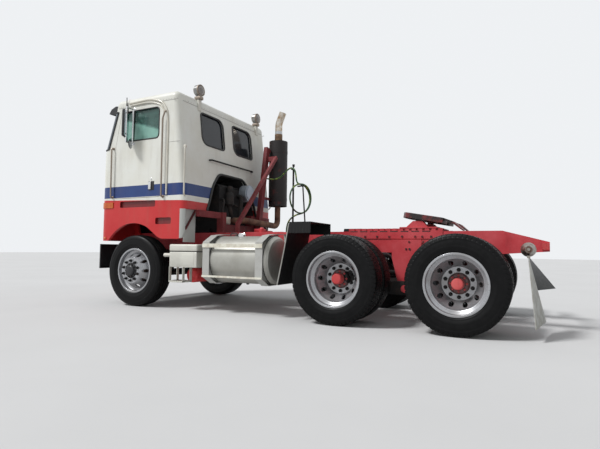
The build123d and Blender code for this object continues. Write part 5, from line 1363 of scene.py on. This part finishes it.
boxSpec = {
    "rear": 3.306, "front": 3.795, "inner": 0.496, "outer": 1.150, "low": 0.590, "lidLow": 0.806, "high": 0.905,
    "lap": 0.004, "sealIn": 0.008, "panelIn": 0.05,
    "footStations": (3.400, 3.700), "footLow": 0.845, "footHigh": 0.895, "footInner": 0.432, "footHalf": 0.020,
    "pegZ": 0.753, "peg": [(0, 0), (0, 0.027), (0.150, 0.027), (0.158, 0.020), (0.160, 0)],
    "stepZ": 0.383, "stepRear": 3.545, "stepFront": 3.791, "stepDeep": 0.200, "stepThick": 0.020,
    "strapWide": 0.045, "strapThick": 0.008, "strapIn": (0.004, 0.155),
    "treads": np.arange(3.560, 3.785, 0.022), "tread": (0.006, 0.18, 0.006),
}
lipSpec = {
    "edge": [(1.890, 1.197, 1.150), (1.908, 1.197, 1.044), (1.955, 1.197, 0.800), (2.034, 1.197, 0.425)],
    "rear": 1.604, "front": 1.884, "y": 1.1965, "low": 1.052, "high": 1.149, "thick": 0.005,
    "wave": 0.041, "swell": 0.004, "hang": 0.007,
}


def rubberLip(spec):
    # A strip along the fender's outer lip; its face swells in upright wrinkles and its lower edge hangs in waves.
    s = np.linspace(spec["rear"], spec["front"], 85)[:, None]
    share = np.linspace(0, 1, 9)[None, :]
    swing = np.sin(2 * np.pi * s / spec["wave"])
    z = spec["high"] + (spec["low"] - spec["hang"] * np.abs(swing) - spec["high"]) * share
    y = spec["y"] + spec["thick"] + spec["swell"] * share * (0.5 + 0.5 * swing)
    face = np.stack([s + 0 * z, y, z], -1)
    back = face[:, ::-1] * (1, 0, 1) + (0, spec["y"] - 0.001, 0)
    return capped(np.concatenate([face, back], 1))


def addBoxes(spec):
    # The same box, lid, pipe, brackets and hung step as the solids, with rounded edges and the step's straps narrow.
    rear, front, inner, outer, low, lidLow = (
        spec[side] for side in ("rear", "front", "inner", "outer", "low", "lidLow"))
    lap, seal, panel = spec["lap"], spec["sealIn"], spec["panelIn"]
    stepZ, stepRear, stepFront, thick = spec["stepZ"], spec["stepRear"], spec["stepFront"], spec["strapThick"]
    forms = [
        roundedBlock((rear + lap, inner + lap, low), (front - lap, outer - lap, lidLow - 0.004), 0.012),
        roundedBlock((rear, inner, lidLow), (front, outer, spec["high"]), 0.022, 4),
        roundedBlock((rear + panel, outer - 0.006, low + 0.03), (front - panel, outer - 0.001, lidLow - 0.035), 0.004)]
    for at in spec["footStations"]:
        forms.append(roundedBlock((at - spec["footHalf"], spec["footInner"], spec["footLow"]),
                                  (at + spec["footHalf"], inner + 0.006, spec["footHigh"]), 0.004))
    forms.append(turnedForm(spec["peg"], (front - 0.015, outer - 0.065, spec["pegZ"]), alongX, 24))
    for at in (stepRear, stepFront - thick):
        for y in spec["strapIn"]:
            forms.append(roundedBlock((at, outer - y - spec["strapWide"], stepZ),
                                      (at + thick, outer - y, low + 0.006), 0.002))
    forms.append(roundedBlock((stepRear, outer - spec["stepDeep"], stepZ),
                              (stepFront, outer, stepZ + spec["stepThick"]), 0.004))
    makePiece("battery_box_shells", bothSides(*forms), "chassis", boxMetal, ["battery_boxes"])
    strip = roundedBlock((rear + seal, inner + seal, lidLow - 0.012),
                         (front - seal, outer - seal, lidLow + 0.014), 0.006)
    makePiece("battery_box_seals", bothSides(strip), "chassis", gasketBlack)
    treads = [slab((s, outer - spec["stepDeep"] / 2, stepZ + 0.0215), spec["tread"], 0.002) for s in spec["treads"]]
    makePiece("step_treads", bothSides(*treads), "chassis", sheetMetal)


def addFenderTrim(spec):
    edge = pipe(spec["edge"], 0.05, 0.008, alongY)
    makePiece("fender_edges", bothSides(edge), "chassis", greyPaint)
    makePiece("fender_lips", bothSides(rubberLip(spec)), "chassis", flapBlack, sharpAngle=50)


addBoxes(boxSpec)
addFenderTrim(lipSpec)

# Frame: bolts with their washers, dark slots in the rails and the lines inside them

# Columns: stations, y, z
boltRows = [
    ([0.373, 0.478, 0.562, 0.719, 0.881, 1.034, 1.191], 0.442, 1.027),  # fifth wheel's angle
    ([0.625, 0.667], 0.458, 0.875),  # saddle
    ([0.464, 0.630], 0.458, 0.963),  # saddle's top
    ([1.72, 1.76, 2.48, 2.52], 0.432, 1.050),  # front crossmembers
    ([1.72, 1.76, 2.48, 2.52, -0.13, -0.10], 0.432, 0.900),
    ([-0.13, -0.10, -0.835, -0.805], 0.432, 0.930),  # tail
    ([3.92, 4.00, 4.96, 5.04], 0.432, 0.870),  # front springs
]
frameSpec = {
    "washer": [(0, 0), (0, 0.019), (0.003, 0.019), (0.003, 0)],
    "slotStations": [0.43, 0.56, 0.69, 0.82, 0.95, 1.08, 1.21, 1.34],
    "slotY": 0.4425, "slotZ": 1.089, "slot": (0.096, 0.003, 0.010),
    # Columns: y, z, radius
    "lines": [(0.300, 1.000, 0.011), (0.270, 0.985, 0.008), (-0.300, 0.990, 0.014), (-0.265, 1.010, 0.009)],
    # Columns: station, factor on y, drop
    "route": [(3.45, 1, 0), (2.60, 1, 0.01), (1.90, 1.05, 0.02), (1.327, 1, 0.015), (0.66, 0.96, 0.03),
              (-0.05, 1, 0.02), (-0.40, 1, 0.02), (-0.78, 1, 0.06)],
}


def addFrameTrim(spec):
    places = [(station, y, z) for stations, y, z in boltRows for station in stations]
    heads = [bolt(at, alongY, 0.013, 0.011) for at in places]
    makePiece("frame_bolts", bothSides(*heads), "chassis", greasy)
    washers = [turnedForm(spec["washer"], at, alongY, 14) for at in places]
    makePiece("frame_washers", bothSides(*washers), "chassis", frameRed)
    slots = [slab((s, spec["slotY"], spec["slotZ"]), spec["slot"], 0.0012) for s in spec["slotStations"]]
    makePiece("rail_slots", bothSides(*slots), "chassis", gasketBlack)
    lines = [pipe([(s, y * factor, z - drop) for s, factor, drop in spec["route"]], 0.25, radius, steps=5)
             for y, z, radius in spec["lines"]]
    makePiece("frame_lines", lines, "chassis", gasketBlack)


addFrameTrim(frameSpec)
print("tanks and frame trimmed")

# Floor, backdrop and light

stageSpec = {
    "floorColour": (206, 206, 206),
    "floorReach": 60,
    "skyColour": (0.86, 0.88, 0.90, 1.0),  # linear
    "fill": 0.55,
    "sunFrom": (0.62, 0.72, 1.15),
    "sunPower": 2.6,
    "sunSpread": 12.0,
}


def addFloor(spec):
    f = Finish("pale_floor", 0.9)
    colour = tone(*spec["floorColour"])
    finish = f.made(f.ramp(f.noise(0.4, 4), (0.3, paler(colour, 0.94)), (0.7, colour)))
    reach = np.linspace(-spec["floorReach"], spec["floorReach"], 13)
    points, faces = gridSurface(np.stack([*np.meshgrid(reach, reach, indexing="ij"), np.zeros((13, 13))], -1))
    mesh = bpy.data.meshes.new("floor")
    mesh.from_pydata(points.tolist(), [], faces.tolist())
    mesh.materials.append(finish)
    floor = bpy.data.objects.new("floor", mesh)
    bpy.context.scene.collection.objects.link(floor)


def addLight(spec):
    # The sky shows at full strength to the camera, through glass and in reflections, and lights at the fill's.
    world = bpy.data.worlds.new("studio")
    bpy.context.scene.world = world
    world.use_nodes = True
    nodes, links = world.node_tree.nodes, world.node_tree.links
    background = nodes["Background"]
    background.inputs["Color"].default_value = spec["skyColour"]
    path = nodes.new("ShaderNodeLightPath")
    seen = path.outputs["Is Camera Ray"]
    for ray in ("Is Transmission Ray", "Is Glossy Ray"):
        either = nodes.new("ShaderNodeMath")
        either.operation = "MAXIMUM"
        links.new(seen, either.inputs[0])
        links.new(path.outputs[ray], either.inputs[1])
        seen = either.outputs[0]
    strength = nodes.new("ShaderNodeMapRange")
    strength.inputs["To Min"].default_value = spec["fill"]
    strength.inputs["To Max"].default_value = 1.0
    links.new(seen, strength.inputs["Value"])
    links.new(strength.outputs["Result"], background.inputs["Strength"])
    sun = bpy.data.lights.new("sun", "SUN")
    sun.energy = spec["sunPower"]
    sun.angle = np.radians(spec["sunSpread"])
    lamp = bpy.data.objects.new("sun", sun)
    lamp.rotation_mode = "QUATERNION"
    lamp.rotation_quaternion = (-Vector(spec["sunFrom"])).to_track_quat("-Z", "Y")
    bpy.context.scene.collection.objects.link(lamp)
    bpy.context.scene.view_settings.view_transform = "Standard"


addFloor(stageSpec)
addLight(stageSpec)
print("stage set")
